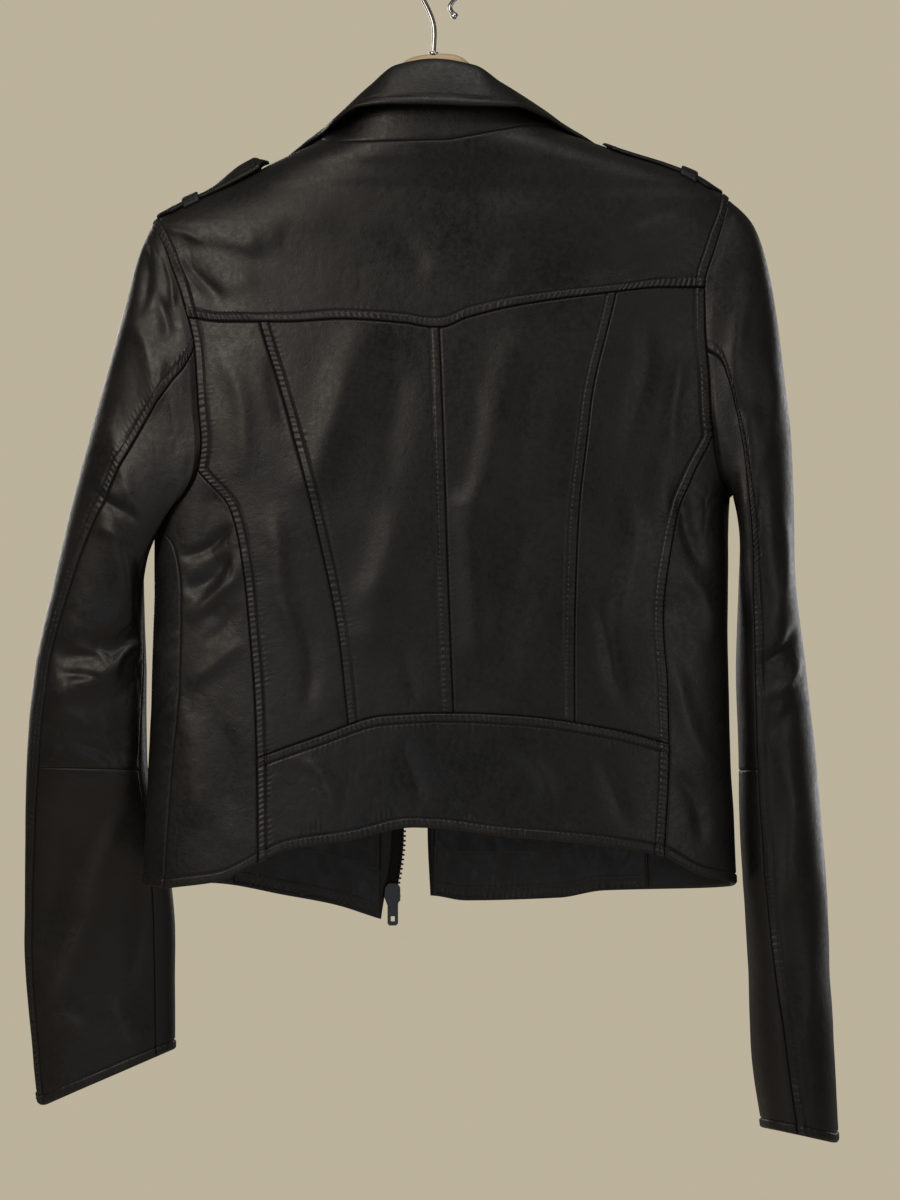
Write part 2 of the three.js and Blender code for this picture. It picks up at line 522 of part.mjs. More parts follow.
const dart = Object.fromEntries(['left', 'right'].map((side) => [side,
  runThrough([dartFoot[side], ...DART[side].slice(1, -1).reverse().map(onBack), dartTop[side]])]));
const between = (run, a, b) => stretch(run, passes(run, 'phi', a.phi), passes(run, 'phi', b.phi));

// ---------- back ----------
const neckPoint = { left: { phi: -QUARTER, z: NECK_POINT.left.z }, right: { phi: QUARTER, z: NECK_POINT.right.z } };
const neckSeam = runThrough([neckPoint.left, ...NECK_SEAM.map(onBack), neckPoint.right]);
const PANEL_COLUMNS = 5;      // across each of the four back panels, and above each on the yoke
const QUARTERS = [0, 0.25, 0.5, 0.75, 1];
const backColumns = steps(4 * PANEL_COLUMNS);
/** A run whose quarters end where the four back panels do. */
function quartered(run, corners) {
  const places = [0, ...corners.map((corner) => passes(run, 'phi', corner.phi)), 1];
  return (u) => {
    const quarter = Math.min(Math.floor(u * 4), 3);
    return run(lerp(places[quarter], places[quarter + 1], (u - QUARTERS[quarter]) * 4));
  };
}
const shoulder = (side, from, to) => (u) => ({ phi: ARMHOLE[side].sign * QUARTER, z: lerp(from, to, u) });
const yokeTop = joined(
  joined(shoulder('left', ARMHOLE.left.tip, neckPoint.left.z), stretch(neckSeam, 0, 0.5), 0.5),
  joined(stretch(neckSeam, 0.5, 1), shoulder('right', neckPoint.right.z, ARMHOLE.right.tip), 0.5), 0.5);
add('back_yoke', bodyPanel(region({
  left: armholeRun('left', armTurns.left.yoke, 0), right: armholeRun('right', armTurns.right.yoke, 0),
  bottom: quartered(yokeSeam, [dartTop.left, centreTop, dartTop.right]), top: yokeTop,
}), backColumns, steps(YOKE_STEPS)), leather);

const CORNER = 2 / 3;         // share of the side back's outer edge that is seam, the rest armhole
const SEAM_ROWS = 10;
const backRows = steps(11);
function sideBackEdge(side) {
  const seam = stretch(panelSeam[side], bandCorner[side], 1);
  return joined(seam, armholeRun(side, armTurns[side].panel, armTurns[side].yoke), CORNER);
}
add('back_side_left', bodyPanel(region({
  left: sideBackEdge('left'), right: dart.left,
  bottom: between(bandSeam, panelSeam.left(bandCorner.left), dartFoot.left),
  top: between(yokeSeam, yokeEnd.left, dartTop.left),
}), steps(PANEL_COLUMNS), splitSteps(SEAM_ROWS, BACK_STEPS, CORNER)), leather);
add('back_side_right', bodyPanel(region({
  left: dart.right, right: sideBackEdge('right'),
  bottom: between(bandSeam, dartFoot.right, panelSeam.right(bandCorner.right)),
  top: between(yokeSeam, dartTop.right, yokeEnd.right),
}), steps(PANEL_COLUMNS), splitSteps(SEAM_ROWS, BACK_STEPS, CORNER)), leather);
add('back_centre_left', bodyPanel(region({
  left: dart.left, right: centreSeam,
  bottom: between(bandSeam, dartFoot.left, centreFoot), top: between(yokeSeam, dartTop.left, centreTop),
}), steps(PANEL_COLUMNS), backRows), leather);
add('back_centre_right', bodyPanel(region({
  left: centreSeam, right: dart.right,
  bottom: between(bandSeam, centreFoot, dartFoot.right), top: between(yokeSeam, centreTop, dartTop.right),
}), steps(PANEL_COLUMNS), backRows), leather);
const BAND_ROWS = 3;
add('back_band', bodyPanel(region({
  left: stretch(panelSeam.left, 0, bandCorner.left), right: stretch(panelSeam.right, 0, bandCorner.right),
  bottom: bandHem, top: quartered(bandSeam, [dartFoot.left, centreFoot, dartFoot.right]),
}), backColumns, steps(BAND_ROWS)), leather);

// ---------- sides and fronts ----------
const BAND_SHARE = 0.25;
const wholePanelSeam = (side) => joined(
  stretch(panelSeam[side], 0, bandCorner[side]), stretch(panelSeam[side], bandCorner[side], 1), BAND_SHARE);
const sideRows = splitSteps(BAND_ROWS, SEAM_ROWS, BAND_SHARE);
const sideHem = {
  left: runThrough([sideSeam.left(0), onBack({ x: -152, z: -519 }), panelSeam.left(0)]),
  right: runThrough([panelSeam.right(0), onBack({ x: 190, z: -515 }), sideSeam.right(0)]),
};
add('side_panel_left', bodyPanel(region({
  left: sideSeam.left, right: wholePanelSeam('left'),
  bottom: sideHem.left, top: armholeRun('left', Math.PI, armTurns.left.panel),
}), steps(UNDER_STEPS), sideRows), leather);
add('side_panel_right', bodyPanel(region({
  left: wholePanelSeam('right'), right: sideSeam.right,
  bottom: sideHem.right, top: armholeRun('right', armTurns.right.panel, Math.PI),
}), steps(UNDER_STEPS), sideRows), leather);

const PIT_SHARE = 0.54;       // share of the front's outer edge below the armhole
const frontEdge = {};
const frontHem = {};
for (const side of ['left', 'right']) {
  const places = FRONT_EDGE[side].map((spot) => onFront(spot, side));
  frontEdge[side] = runThrough([...places, { phi: neckPoint[side].phi, z: neckPoint[side].z }]);
  frontHem[side] = runThrough([...FRONT_HEM[side].map((spot) => onFront(spot, side)), sideSeam[side](0)]);
}
const reversed = (run) => (u) => run(1 - u);
/** The armhole's front edge, from the pit up to the shoulder tip. */
const frontArmhole = (side) => (u) => armholePlace(side, lerp(-Math.PI, 0, u));
const frontRows = [...sideRows.map((t) => t * PIT_SHARE), ...steps(FRONT_STEPS, PIT_SHARE, 1).slice(1)];
const frontSide = (side) => joined(sideSeam[side], frontArmhole(side), PIT_SHARE);
add('front_left', bodyPanel(region({
  left: frontEdge.left, right: frontSide('left'),
  bottom: frontHem.left, top: shoulder('left', neckPoint.left.z, ARMHOLE.left.tip),
}), steps(8), frontRows), leather);
add('front_right', bodyPanel(region({
  left: frontSide('right'), right: frontEdge.right,
  bottom: reversed(frontHem.right), top: shoulder('right', ARMHOLE.right.tip, neckPoint.right.z),
}), steps(8), frontRows), leather);

// ---------- sleeves ----------
const sleeveRow = {};
for (const side of ['left', 'right']) {
  const rows = SLEEVE[side].map((row, ring) => ({ ring, ...row }));
  const names = ['ox', 'oz', 'ix', 'iz', 'y', 'deep', 'seam', 'inner', 'fit'];
  sleeveRow[side] = Object.fromEntries(names.map((name) => [name, follow(rows, 'ring', name)]));
}

/** A point of the sleeve: ring from the armhole down, turn from the outer line over the back. */
function sleevePoint(side, ring, turn) {
  const row = sleeveRow[side];
  const oval = (at) => {
    const middle = new THREE.Vector3((row.ox(at) + row.ix(at)) / 2, row.y(at), (row.oz(at) + row.iz(at)) / 2);
    const out = new THREE.Vector3(row.ox(at), row.y(at), row.oz(at)).sub(middle);
    middle.addScaledVector(out, rounded(Math.cos(turn), SLEEVE_SQUARE));
    middle.y -= row.deep(at) * rounded(Math.sin(turn), SLEEVE_SQUARE);
    return middle;
  };
  const point = oval(ring);
  const { phi, z } = armholePlace(side, turn);
  point.addScaledVector(bodyPoint(phi, z).sub(oval(0)), row.fit(ring));
  const under = smoothstep(-Math.cos(turn), 0, 0.8);
  const roll = smoothstep(ring, 0, 0.4) * (1 - smoothstep(ring, 1, 3)) * lerp(HEAD_ROLL, PIT_ROLL, under);
  point.addScaledVector(bodyNormal(phi, z), roll);
  const face = Math.sin(turn) > 0 ? 'back' : 'front';
  const lift = foldLift(point.x, point.z, face) * smoothstep(Math.abs(Math.sin(turn)), 0.2, 0.8);
  point.y -= Math.sign(Math.sin(turn)) * lift * clamp(ring, 0, 1);
  return point;
}

/** A sleeve piece from ring to ring, between two lengthwise seams; columns are shares of its width. */
function sleevePiece(side, seams, columns, rings) {
  const outward = side === 'left' ? 1 : -1;
  const ordered = outward > 0 ? columns : [...columns].reverse();
  const turnAt = (s, ring) => degToRad(lerp(seams[0](ring), seams[1](ring), s));
  const point = (s, ring) => sleevePoint(side, ring, turnAt(s, ring));
  const grid = [...rings].reverse().map((ring) => ordered.map((s) => {
    const small = 1e-3;
    const across = point(s + small, ring).sub(point(s - small, ring)).multiplyScalar(outward);
    const below = point(s, ring + small).sub(point(s, Math.max(ring - small, 0)));
    const normal = across.cross(below.negate()).normalize();
    if (ring > 0) return { point: point(s, ring), normal };
    const { phi, z } = armholePlace(side, turnAt(s, 0));
    return { point: bodyPoint(phi, z), normal: bodyNormal(phi, z) };
  }));
  return wallOn(drawIn(grid, SEAM_GAP / 2), 0, LEATHER);
}

const rings = [0, 0.4, 0.8, 1.3, 1.8, 2.4, 3, 3.6, 4.2, 4.8, 5.3, 5.8, 6.3, 6.7, ELBOW_RING];
const forearmRings = [ELBOW_RING, 7.6, 8.1, 8.7, 9.3, 10, 10.5, CUFF_RING];
for (const side of ['left', 'right']) {
  const toDegrees = (list) => list.map(THREE.MathUtils.radToDeg);
  const stations = toDegrees(armTurns[side].list);
  const seamStation = stations.reduce((best, turn) => (
    Math.abs(turn - sleeveRow[side].seam(0)) < Math.abs(best - sleeveRow[side].seam(0)) ? turn : best));
  const seam = (ring) => lerp(sleeveRow[side].seam(ring), seamStation, Math.max(1 - ring, 0));
  const { inner } = sleeveRow[side];
  const front = (ring) => inner(ring) - 360;
  const share = (from, to) => stations.filter((turn) => turn >= from - 1e-6 && turn <= to + 1e-6)
    .map((turn) => (turn - from) / (to - from));
  const topColumns = share(-180, seamStation);
  add(`sleeve_top_upper_${side}`, sleevePiece(side, [front, seam], topColumns, rings), leather);
  add(`sleeve_top_lower_${side}`, sleevePiece(side, [front, seam], topColumns, forearmRings), leather);
  const underColumns = share(seamStation, 180);
  add(`sleeve_under_upper_${side}`, sleevePiece(side, [seam, inner], underColumns, rings), leather);
  add(`sleeve_under_lower_${side}`, sleevePiece(side, [seam, inner], underColumns, forearmRings), leather);
}

// ---------- collar ----------
const collarAt = Object.fromEntries(['fx', 'fy', 'fz', 'ex', 'ey', 'ez'].map((c) => [c, follow(COLLAR, 'v', c)]));
const collarFold = (v) => new THREE.Vector3(collarAt.fx(v), collarAt.fy(v), collarAt.fz(v));
const collarEdge = (v) => new THREE.Vector3(collarAt.ex(v), collarAt.ey(v), collarAt.ez(v));
/** Where the collar is sewn on: the neck seam, then down the roll line at each front. */
function collarSeat(v) {
  if (Math.abs(v) <= COLLAR_NECK_END) return neckSeam((v / COLLAR_NECK_END + 1) / 2);
  const side = v < 0 ? 'left' : 'right';
  const along = (Math.abs(v) - COLLAR_NECK_END) / (1 - COLLAR_NECK_END);
  return frontEdge[side](1 - along * COLLAR_FRONT_ROWS * (1 - PIT_SHARE) / FRONT_STEPS);
}
const collarColumns = [...steps(COLLAR_FRONT_ROWS, -1, -COLLAR_NECK_END),
  ...steps(2 * PANEL_COLUMNS, -COLLAR_NECK_END, COLLAR_NECK_END).slice(1),
  ...steps(COLLAR_FRONT_ROWS, COLLAR_NECK_END, 1).slice(1)];
const standPoint = (v, t) => {
  const { phi, z } = collarSeat(v);
  return bodyPoint(phi, z).lerp(collarFold(v), t);
};
add('collar_stand', wallOn(drawIn(gridOn(standPoint, collarColumns, [0, 0.15, 0.4, 0.7, 1], (v, t) => {
  if (t > 0) return null;
  const { phi, z } = collarSeat(v);
  return bodyNormal(phi, z);
}), SEAM_GAP), 0, LEATHER), leather);

/** Over the fold and down outside the stand, as a curve of four handles. */
function fallPoint(v, t) {
  const fold = collarFold(v);
  const edge = collarEdge(v);
  const up = fold.clone().sub(standPoint(v, 0)).normalize();
  const ahead = collarFold(Math.min(v + 0.01, 1)).sub(collarFold(Math.max(v - 0.01, -1)));
  const out = ahead.cross(up).normalize();
  const tight = COLLAR_TIGHT * smoothstep(Math.abs(v), 0.7, 1);
  const handle = (away, rise) => fold.clone().addScaledVector(out, away).addScaledVector(up, rise + tight);
  return new THREE.CubicBezierCurve3(handle(-LEATHER, LEATHER + 0.9), handle(4, LEATHER + 3.6), handle(7, 0), edge)
    .getPoint(clamp(1 - t, 0, 1));
}
add('collar_fall', wallOn(gridOn(fallPoint, collarColumns, [0, 0.3, 0.55, 0.75, 0.9, 1].map((t) => t * 0.998 + 0.001)),
  0, LEATHER), leather);

// ---------- lapels, facings and zip tapes ----------
/** A region of the front between four lists of (x, z), given from the middle outwards and hem upwards. */
function frontRegion(side, { inner, outer, bottom, top }) {
  const run = (list) => runThrough(list.map((spot) => onFront(spot, side)));
  const edges = { bottom: run(bottom), top: run(top) };
  if (side === 'left') return region({ left: run(inner), right: run(outer), ...edges });
  return region({ left: run(outer), right: run(inner), bottom: reversed(edges.bottom), top: reversed(edges.top) });
}
const LAPEL_OUT = LAY_GAP + LEATHER;
for (const side of ['left', 'right']) {
  const { top, tip, edge, foot, breakAt } = LAPEL[side];
  const roll = FRONT_EDGE[side].filter(({ z }) => z < top.z && z > breakAt.z);
  add(`lapel_${side}`, bodyPanel(frontRegion(side, {
    inner: [breakAt, ...roll, top], outer: [foot, ...[...edge].reverse(), tip],
    bottom: [breakAt, foot], top: [top, tip],
  }), steps(5), steps(7), { out: LAPEL_OUT }), leather);
}

/** The facing is a strip inside the front along its hem. */
const FACING_REACH = { left: -140, right: 151 };
const FACING_GAP = 0.8;       // inside the front, whose facets are flatter than its curve
const FACING_START = 0.005;   // just short of the front's edge, as a share of the hem
for (const side of ['left', 'right']) {
  const start = passes(frontHem[side], 'phi', onFront({ x: FACING_REACH[side], z: -520 }, side).phi);
  const low = (u) => frontHem[side](lerp(FACING_START, start, u));
  const raise = (spot, by) => ({ phi: spot.phi, z: spot.z + by });
  const ends = [raise(low(0), 0), raise(low(1), 0)];
  const strip = {
    bottom: (s) => raise(low(s), 1), top: (s) => raise(low(s), FACING_HEIGHT),
    left: (t) => raise(ends[0], lerp(1, FACING_HEIGHT, t)), right: (t) => raise(ends[1], lerp(1, FACING_HEIGHT, t)),
  };
  const facing = side === 'left' ? region(strip) : region({
    bottom: reversed(strip.bottom), top: reversed(strip.top), left: strip.right, right: strip.left });
  add(`facing_${side}`, bodyPanel(facing, steps(9), steps(2), {
    out: -LEATHER - FACING_GAP, thick: FACING_LEATHER }), facingLeather);
}

/** The open zip's left tape stands out from the front's edge, from the hem to below the lapel. */
const tapeEdge = stretch(frontEdge.left, 0.03, 0.5);
const beyond = (place, by) => {
  const here = bodyPoint(place.phi, place.z);
  const turn = 0.01;
  const perTurn = bodyPoint(place.phi - turn, place.z).distanceTo(here) / turn;
  return { phi: place.phi - by / perTurn, z: place.z };
};
const TAPE_OUT = -(LEATHER - TAPE.thick) / 2;
const tapeRows = 12;
add('zip_tape_left', bodyPanel(region({
  left: (t) => beyond(tapeEdge(t), TAPE.width), right: tapeEdge,
  bottom: (s) => beyond(tapeEdge(0), TAPE.width * (1 - s)), top: (s) => beyond(tapeEdge(1), TAPE.width * (1 - s)),
}), steps(2), steps(tapeRows), { out: TAPE_OUT, thick: TAPE.thick }), tapeCloth);

const rightHemAt = (x) => ({ x, z: RIGHT_TAPE.foot });
add('zip_tape_right', bodyPanel(frontRegion('right', {
  inner: [rightHemAt(RIGHT_TAPE.inFrom), { x: RIGHT_TAPE.inTo, z: RIGHT_TAPE.top }],
  outer: [rightHemAt(RIGHT_TAPE.inFrom + RIGHT_TAPE.width), { x: RIGHT_TAPE.inTo + RIGHT_TAPE.width, z: RIGHT_TAPE.top }],
  bottom: [rightHemAt(RIGHT_TAPE.inFrom), rightHemAt(RIGHT_TAPE.inFrom + RIGHT_TAPE.width)],
  top: [{ x: RIGHT_TAPE.inTo, z: RIGHT_TAPE.top }, { x: RIGHT_TAPE.inTo + RIGHT_TAPE.width, z: RIGHT_TAPE.top }],
}), steps(2), steps(tapeRows), { out: LAY_GAP + TAPE.thick, thick: TAPE.thick }), tapeCloth);

// ---------- epaulettes ----------
/** The highest point of the body's surface above (x, y), with its normal. */
function topAt(x, y) {
  const depth = y < 0 ? bodyAt.back : bodyAt.front;
  const reach = x < 0 ? bodyAt.left : bodyAt.right;
  return climb((z) => (Math.abs(x) / reach(z)) ** BODY_SQUARE + (Math.abs(y) / depth(z)) ** BODY_SQUARE < 1);
}
function topPoint(x, y, lift) {
  const d = 1;
  const slopeX = (topAt(x + d, y) - topAt(x - d, y)) / (2 * d);
  const slopeY = (topAt(x, y + d) - topAt(x, y - d)) / (2 * d);
  const normal = new THREE.Vector3(-slopeX, -slopeY, 1).normalize();
  return new THREE.Vector3(x, y, topAt(x, y)).addScaledVector(normal, lift);
}
for (const side of ['left', 'right']) {
  const { from, to, y: middle, lift, loop } = EPAULETTE[side];
  const sign = ARMHOLE[side].sign;
  const edgeward = (across) => Math.abs(2 * across - 1);
  const sewnAt = (across) => lerp(from, to, STRAP.hollow * edgeward(across) ** 2);
  const reachAt = (across) => lerp(to, from, STRAP.point * edgeward(across) ** STRAP.blunt);
  // The strap arches off the shoulder towards its neck end, most along its middle, and comes down at its point.
  const archAt = (x, across) => {
    const along = (x - from) / (to - from);
    return smoothstep(along, 0.4, 0.82) * (1 - smoothstep(along, 0.84, 1)) * (1 - edgeward(across) ** 2);
  };
  const liftAt = (x, across) => LAY_GAP + STRAP.thick + lift * archAt(x, across);
  const strapAt = (along, across) => {
    const x = lerp(sewnAt(across), reachAt(across), along);
    return topPoint(x, middle + (across - 0.5) * STRAP.width, liftAt(x, across));
  };
  const surface = sign < 0 ? (s, t) => strapAt(s, t) : (s, t) => strapAt(1 - s, t);
  add(`epaulette_${side}`, wallOn(gridOn(surface, steps(8), steps(6)), 0, STRAP.thick), leather);

  const loopSurface = (s, t) => {
    const x = loop + (s - 0.5) * STRAP.loopWide;
    const half = STRAP.width / 2 + 4;
    const y = middle + (2 * t - 1) * half;
    const over = 1 - smoothstep(Math.abs(2 * t - 1) * half, STRAP.width / 2 - 1, half);
    return topPoint(x, y, LAY_GAP + STRAP.loopThick + over * (liftAt(x, 0.5) + 0.4));
  };
  add(`epaulette_loop_${side}`, wallOn(gridOn(loopSurface, steps(1), steps(12)), 0, STRAP.loopThick), leather);
}

// ---------- zip slider and its pull ----------
/** An extruded plate: outline in x and z, from y = 0 to its thickness. */
function plate(outline, thick) {
  const geometry = new THREE.ExtrudeGeometry(outline, { depth: thick, bevelEnabled: false, curveSegments: 6 });
  geometry.rotateX(QUARTER);
  geometry.translate(0, thick, 0);
  return geometry;
}
const box = (x, y, z, at) => new THREE.BoxGeometry(x, y, z).translate(...at);

/** three.js geometry to a manifold solid, and back. */
function solid(geometry) {
  const bare = geometry.index ? geometry.toNonIndexed() : geometry.clone();
  bare.deleteAttribute('normal');
  bare.deleteAttribute('uv');
  const merged = BufferGeometryUtils.mergeVertices(bare, 1e-4);
  return new wasm.Manifold(new wasm.Mesh({
    numProp: 3, vertProperties: merged.attributes.position.array, triVerts: new Uint32Array(merged.index.array) }));
}
function geometryOf(manifold) {
  const mesh = manifold.getMesh();
  const geometry = new THREE.BufferGeometry();
  geometry.setAttribute('position', new THREE.Float32BufferAttribute(mesh.vertProperties, 3));
  geometry.setIndex([...mesh.triVerts]);
  return geometry.toNonIndexed();
}
const union = (...geometries) => geometryOf(geometries.map(solid).reduce((sum, next) => sum.add(next)));

// The slider's own frame: x across the chain, y out of the front, z up; its tape lies at y = 0.
const tapeSpot = onFront({ x: SLIDER.x, z: SLIDER.z }, 'left');
const tapeMiddle = bodyPoint(tapeSpot.phi, tapeSpot.z);
tapeMiddle.y += TAPE_OUT - TAPE.thick / 2;
spread(tapeMiddle);
const zip = new THREE.Group();
zip.position.set(tapeMiddle.x, tapeMiddle.y, tapeMiddle.z);
garment.add(zip);

const { wide, tall } = SLIDER;
/** An outline in x and z, mirrored about x = 0, from its right half's corners given from the foot upwards. */
const mirrored = (half) => new THREE.Shape([
  ...half, ...[...half].reverse().map(([x, z]) => [-x, z])].map(([x, z]) => new THREE.Vector2(x, z)));
const sliderOutline = mirrored([
  [wide / 2 - SLIDER.foot, -tall / 2], [wide / 2, -tall / 6],
  [wide / 2 - SLIDER.taper, tall / 2 - SLIDER.corner], [wide / 2 - SLIDER.corner, tall / 2]]);
const sliderPlate = (y) => plate(sliderOutline, SLIDER.plate).translate(0, y, 0);
const faceY = SLIDER.slot / 2 + SLIDER.plate;
const pinY = faceY + PULL.eye;
const earX = PULL.eye + 0.4;
const pinBar = (radius, length) => new THREE.CylinderGeometry(radius, radius, length, 10).rotateZ(QUARTER);
const ear = (sign) => box(SLIDER.ear, PULL.eye + 1, SLIDER.earTall,
  [sign * (earX + SLIDER.ear / 2), faceY + PULL.eye / 2 + 0.4, 0]);
const post = box(SLIDER.post, SLIDER.slot + 0.6, tall - 6, [wide / 2 - SLIDER.post / 2 - 0.2, 0, -0.5]);
const slider = new THREE.Mesh(union(sliderPlate(-faceY), sliderPlate(SLIDER.slot / 2), post, ear(-1), ear(1),
  pinBar(PULL.pin, 2 * earX + 1).translate(0, pinY, 0)), zipMetal);
slider.name = 'zip_slider';
zip.add(slider);

/** The pull hangs from the pin by an eye, and has a window near its foot. */
const eyeRing = solid(pinBar(PULL.eye - 0.5, 2 * PULL.eye)).subtract(solid(pinBar(PULL.pin + PULL.play, 4 * PULL.eye)));
const tabOutline = mirrored([
  [PULL.wide / 2 - PULL.corner, -PULL.drop], [PULL.wide / 2, -PULL.drop + PULL.corner],
  [PULL.wide / 2, -PULL.eye - PULL.neck], [PULL.eye, -PULL.eye + 0.9]]);
const [windowLow, windowHigh] = [-PULL.drop + PULL.windowFoot, -PULL.drop + PULL.windowFoot + PULL.windowTall];
const windowHole = new THREE.Path();
windowHole.moveTo(-PULL.window / 2, windowLow).lineTo(-PULL.window / 2, windowHigh)
  .lineTo(PULL.window / 2, windowHigh).lineTo(PULL.window / 2, windowLow);
tabOutline.holes.push(windowHole);
const tab = solid(plate(tabOutline, PULL.thick).translate(0, -PULL.thick / 2, 0));
const pull = new THREE.Mesh(geometryOf(eyeRing.add(tab)), zipMetal);
pull.name = 'zip_pull';
pull.position.set(0, pinY, 0);
zip.add(pull);

// ---------- hanger ----------
/** The wood follows the shoulders just under the leather and rises to its neck in the middle. */
const ridgeAt = (x) => climb((z) => (x < 0 ? bodyAt.left : bodyAt.right)(z) > Math.abs(x));
function woodProfile() {
  const xs = steps(36, -HANGER.reach, HANGER.reach);
  const tops = xs.map((x) => {
    const inside = Math.max(1 - Math.abs(x) / HANGER.shoulder, 0);
    const ridge = inside ? lerp(ridgeAt(Math.sign(x) * HANGER.shoulder), HANGER.middle, inside) : ridgeAt(x);
    return ridge - HANGER.under + HANGER.rise * Math.exp(-(Math.abs(x / HANGER.neck) ** HANGER.blunt));
  });
  const shape = new THREE.Shape();
  shape.moveTo(xs[0], tops[0] - HANGER.endTall);
  xs.forEach((x, i) => shape.lineTo(x, tops[i]));
  [...xs].reverse().slice(0, -1).forEach((x) => {
    const i = xs.indexOf(x);
    shape.lineTo(x, Math.min(tops[i], HANGER.arch - Math.abs(x) * HANGER.archFall) - HANGER.tall);
  });
  return shape;
}
const woodGeometry = new THREE.ExtrudeGeometry(woodProfile(), { depth: HANGER.thick, bevelEnabled: false });
woodGeometry.rotateX(QUARTER);
woodGeometry.translate(0, HANGER.thick / 2, 0);
add('hanger_wood', woodGeometry, wood);

/** The wire: up out of the wood, leaning left, then round the rod and down to its ball tip. */
const woodPeak = HANGER.middle - HANGER.under + HANGER.rise;
const bendZ = HOOK_RISE + HOOK.wire - HOOK.radius;
const bend = steps(18, degToRad(205), degToRad(-25)).map((angle) => new THREE.Vector3(
  HOOK.x + HOOK.radius * Math.cos(angle), 0, bendZ + HOOK.radius * Math.sin(angle)));
const tipPoint = new THREE.Vector3(HOOK.tipX, 0, HOOK.tipZ);
const wirePath = new THREE.CatmullRomCurve3([
  new THREE.Vector3(0, 0, woodPeak + 0.3), new THREE.Vector3(0, 0, HOOK.straight),
  new THREE.Vector3(HOOK.leanX, 0, HOOK.leanZ), ...bend, new THREE.Vector3(HOOK.flareX, 0, HOOK.flareZ),
  tipPoint], false, 'centripetal');
const wireSection = new THREE.Shape(new THREE.EllipseCurve(0, 0, HOOK.wire, HOOK.wire).getSpacedPoints(8));
const wire = new THREE.ExtrudeGeometry(wireSection, { extrudePath: wirePath, steps: 56, bevelEnabled: false });
const ball = new THREE.SphereGeometry(HOOK.ball, 12, 8).translate(tipPoint.x, 0, tipPoint.z);
add('hanger_hook', union(wire, ball), steel);

const root = new THREE.Group();
root.add(garment);
export default root;
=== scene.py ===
"""Looks of a cropped leather biker jacket that hangs open on a wooden hanger.

Its surfaces follow the part's own tables, in millimetres in the nape's frame, where z = 0 is the middle of
the back neck seam, +X the wearer's right and -Y the back. to_row() brings a point to the row frame, in
metres.
Each cut piece is a dense thin wall with its seams, puckers, folds and small creases in relief.
"""

import math

import bpy
import numpy as np
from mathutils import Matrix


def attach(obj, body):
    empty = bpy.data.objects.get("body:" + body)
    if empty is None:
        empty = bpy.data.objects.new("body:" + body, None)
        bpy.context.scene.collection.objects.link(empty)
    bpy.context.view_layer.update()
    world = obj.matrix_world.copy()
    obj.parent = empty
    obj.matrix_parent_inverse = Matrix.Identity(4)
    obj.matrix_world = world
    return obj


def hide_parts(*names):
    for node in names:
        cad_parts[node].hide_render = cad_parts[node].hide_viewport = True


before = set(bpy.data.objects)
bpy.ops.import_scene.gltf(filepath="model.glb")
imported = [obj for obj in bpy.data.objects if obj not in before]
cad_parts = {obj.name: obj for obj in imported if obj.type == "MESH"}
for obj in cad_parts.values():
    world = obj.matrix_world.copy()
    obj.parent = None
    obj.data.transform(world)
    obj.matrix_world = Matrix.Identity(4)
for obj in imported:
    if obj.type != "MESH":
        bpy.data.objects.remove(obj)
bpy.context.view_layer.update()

# ---------- driving dimensions, mm ----------
LEATHER = 2.0
LAY_GAP = 0.5
BODY_SQUARE = 2.5
SLEEVE_SQUARE = 2.3
QUARTER = math.pi / 2
HOOK_RISE = 138.0
SPREAD = {"plane": -45, "reach": 1250, "x": 11.5, "z": -322}
SEAM_LAP = 0.25               # each piece runs on past its seam line, at the foot of the groove
STITCH_PITCH = 3.3


def table(columns, *rows):
    names = columns.split()
    return [dict(zip(names, row)) for row in rows]


BODY = table(
    "z left right back front",
    (14, 70, 80, 48, 42), (5, 76, 92, 50, 42), (1, 79, 104, 50, 42), (-10, 100, 137, 49, 41),
    (-18, 116, 163, 47, 40), (-27, 133, 185, 46, 40), (-34, 148, 196, 45, 40), (-42, 167, 207, 45, 40),
    (-50, 184, 211, 45, 40), (-59, 197, 212, 45, 40), (-75, 200, 213, 45, 41), (-120, 200, 213, 47, 43),
    (-200, 197, 212, 50, 46), (-264, 195, 207, 50, 47), (-340, 196, 206, 49, 48), (-430, 199, 208, 51, 51),
    (-500, 203, 211, 55, 55), (-565, 206, 213, 58, 58))

ARMHOLE = {
    "left": {"sign": -1, "tip": -59, "pit": -264, "yoke": -124, "panel": -231, "rows": table(
        "z x", (-59, 197), (-73, 189), (-89, 183), (-113, 175), (-143, 168), (-187, 165), (-211, 163),
        (-229, 165), (-250, 176), (-264, 195))},
    "right": {"sign": 1, "tip": -42, "pit": -248, "yoke": -103, "panel": -207, "rows": table(
        "z x", (-42, 207), (-60, 202), (-76, 197), (-103, 190), (-129, 190), (-167, 193), (-190, 194),
        (-209, 196), (-232, 200), (-248, 208.3))},
}

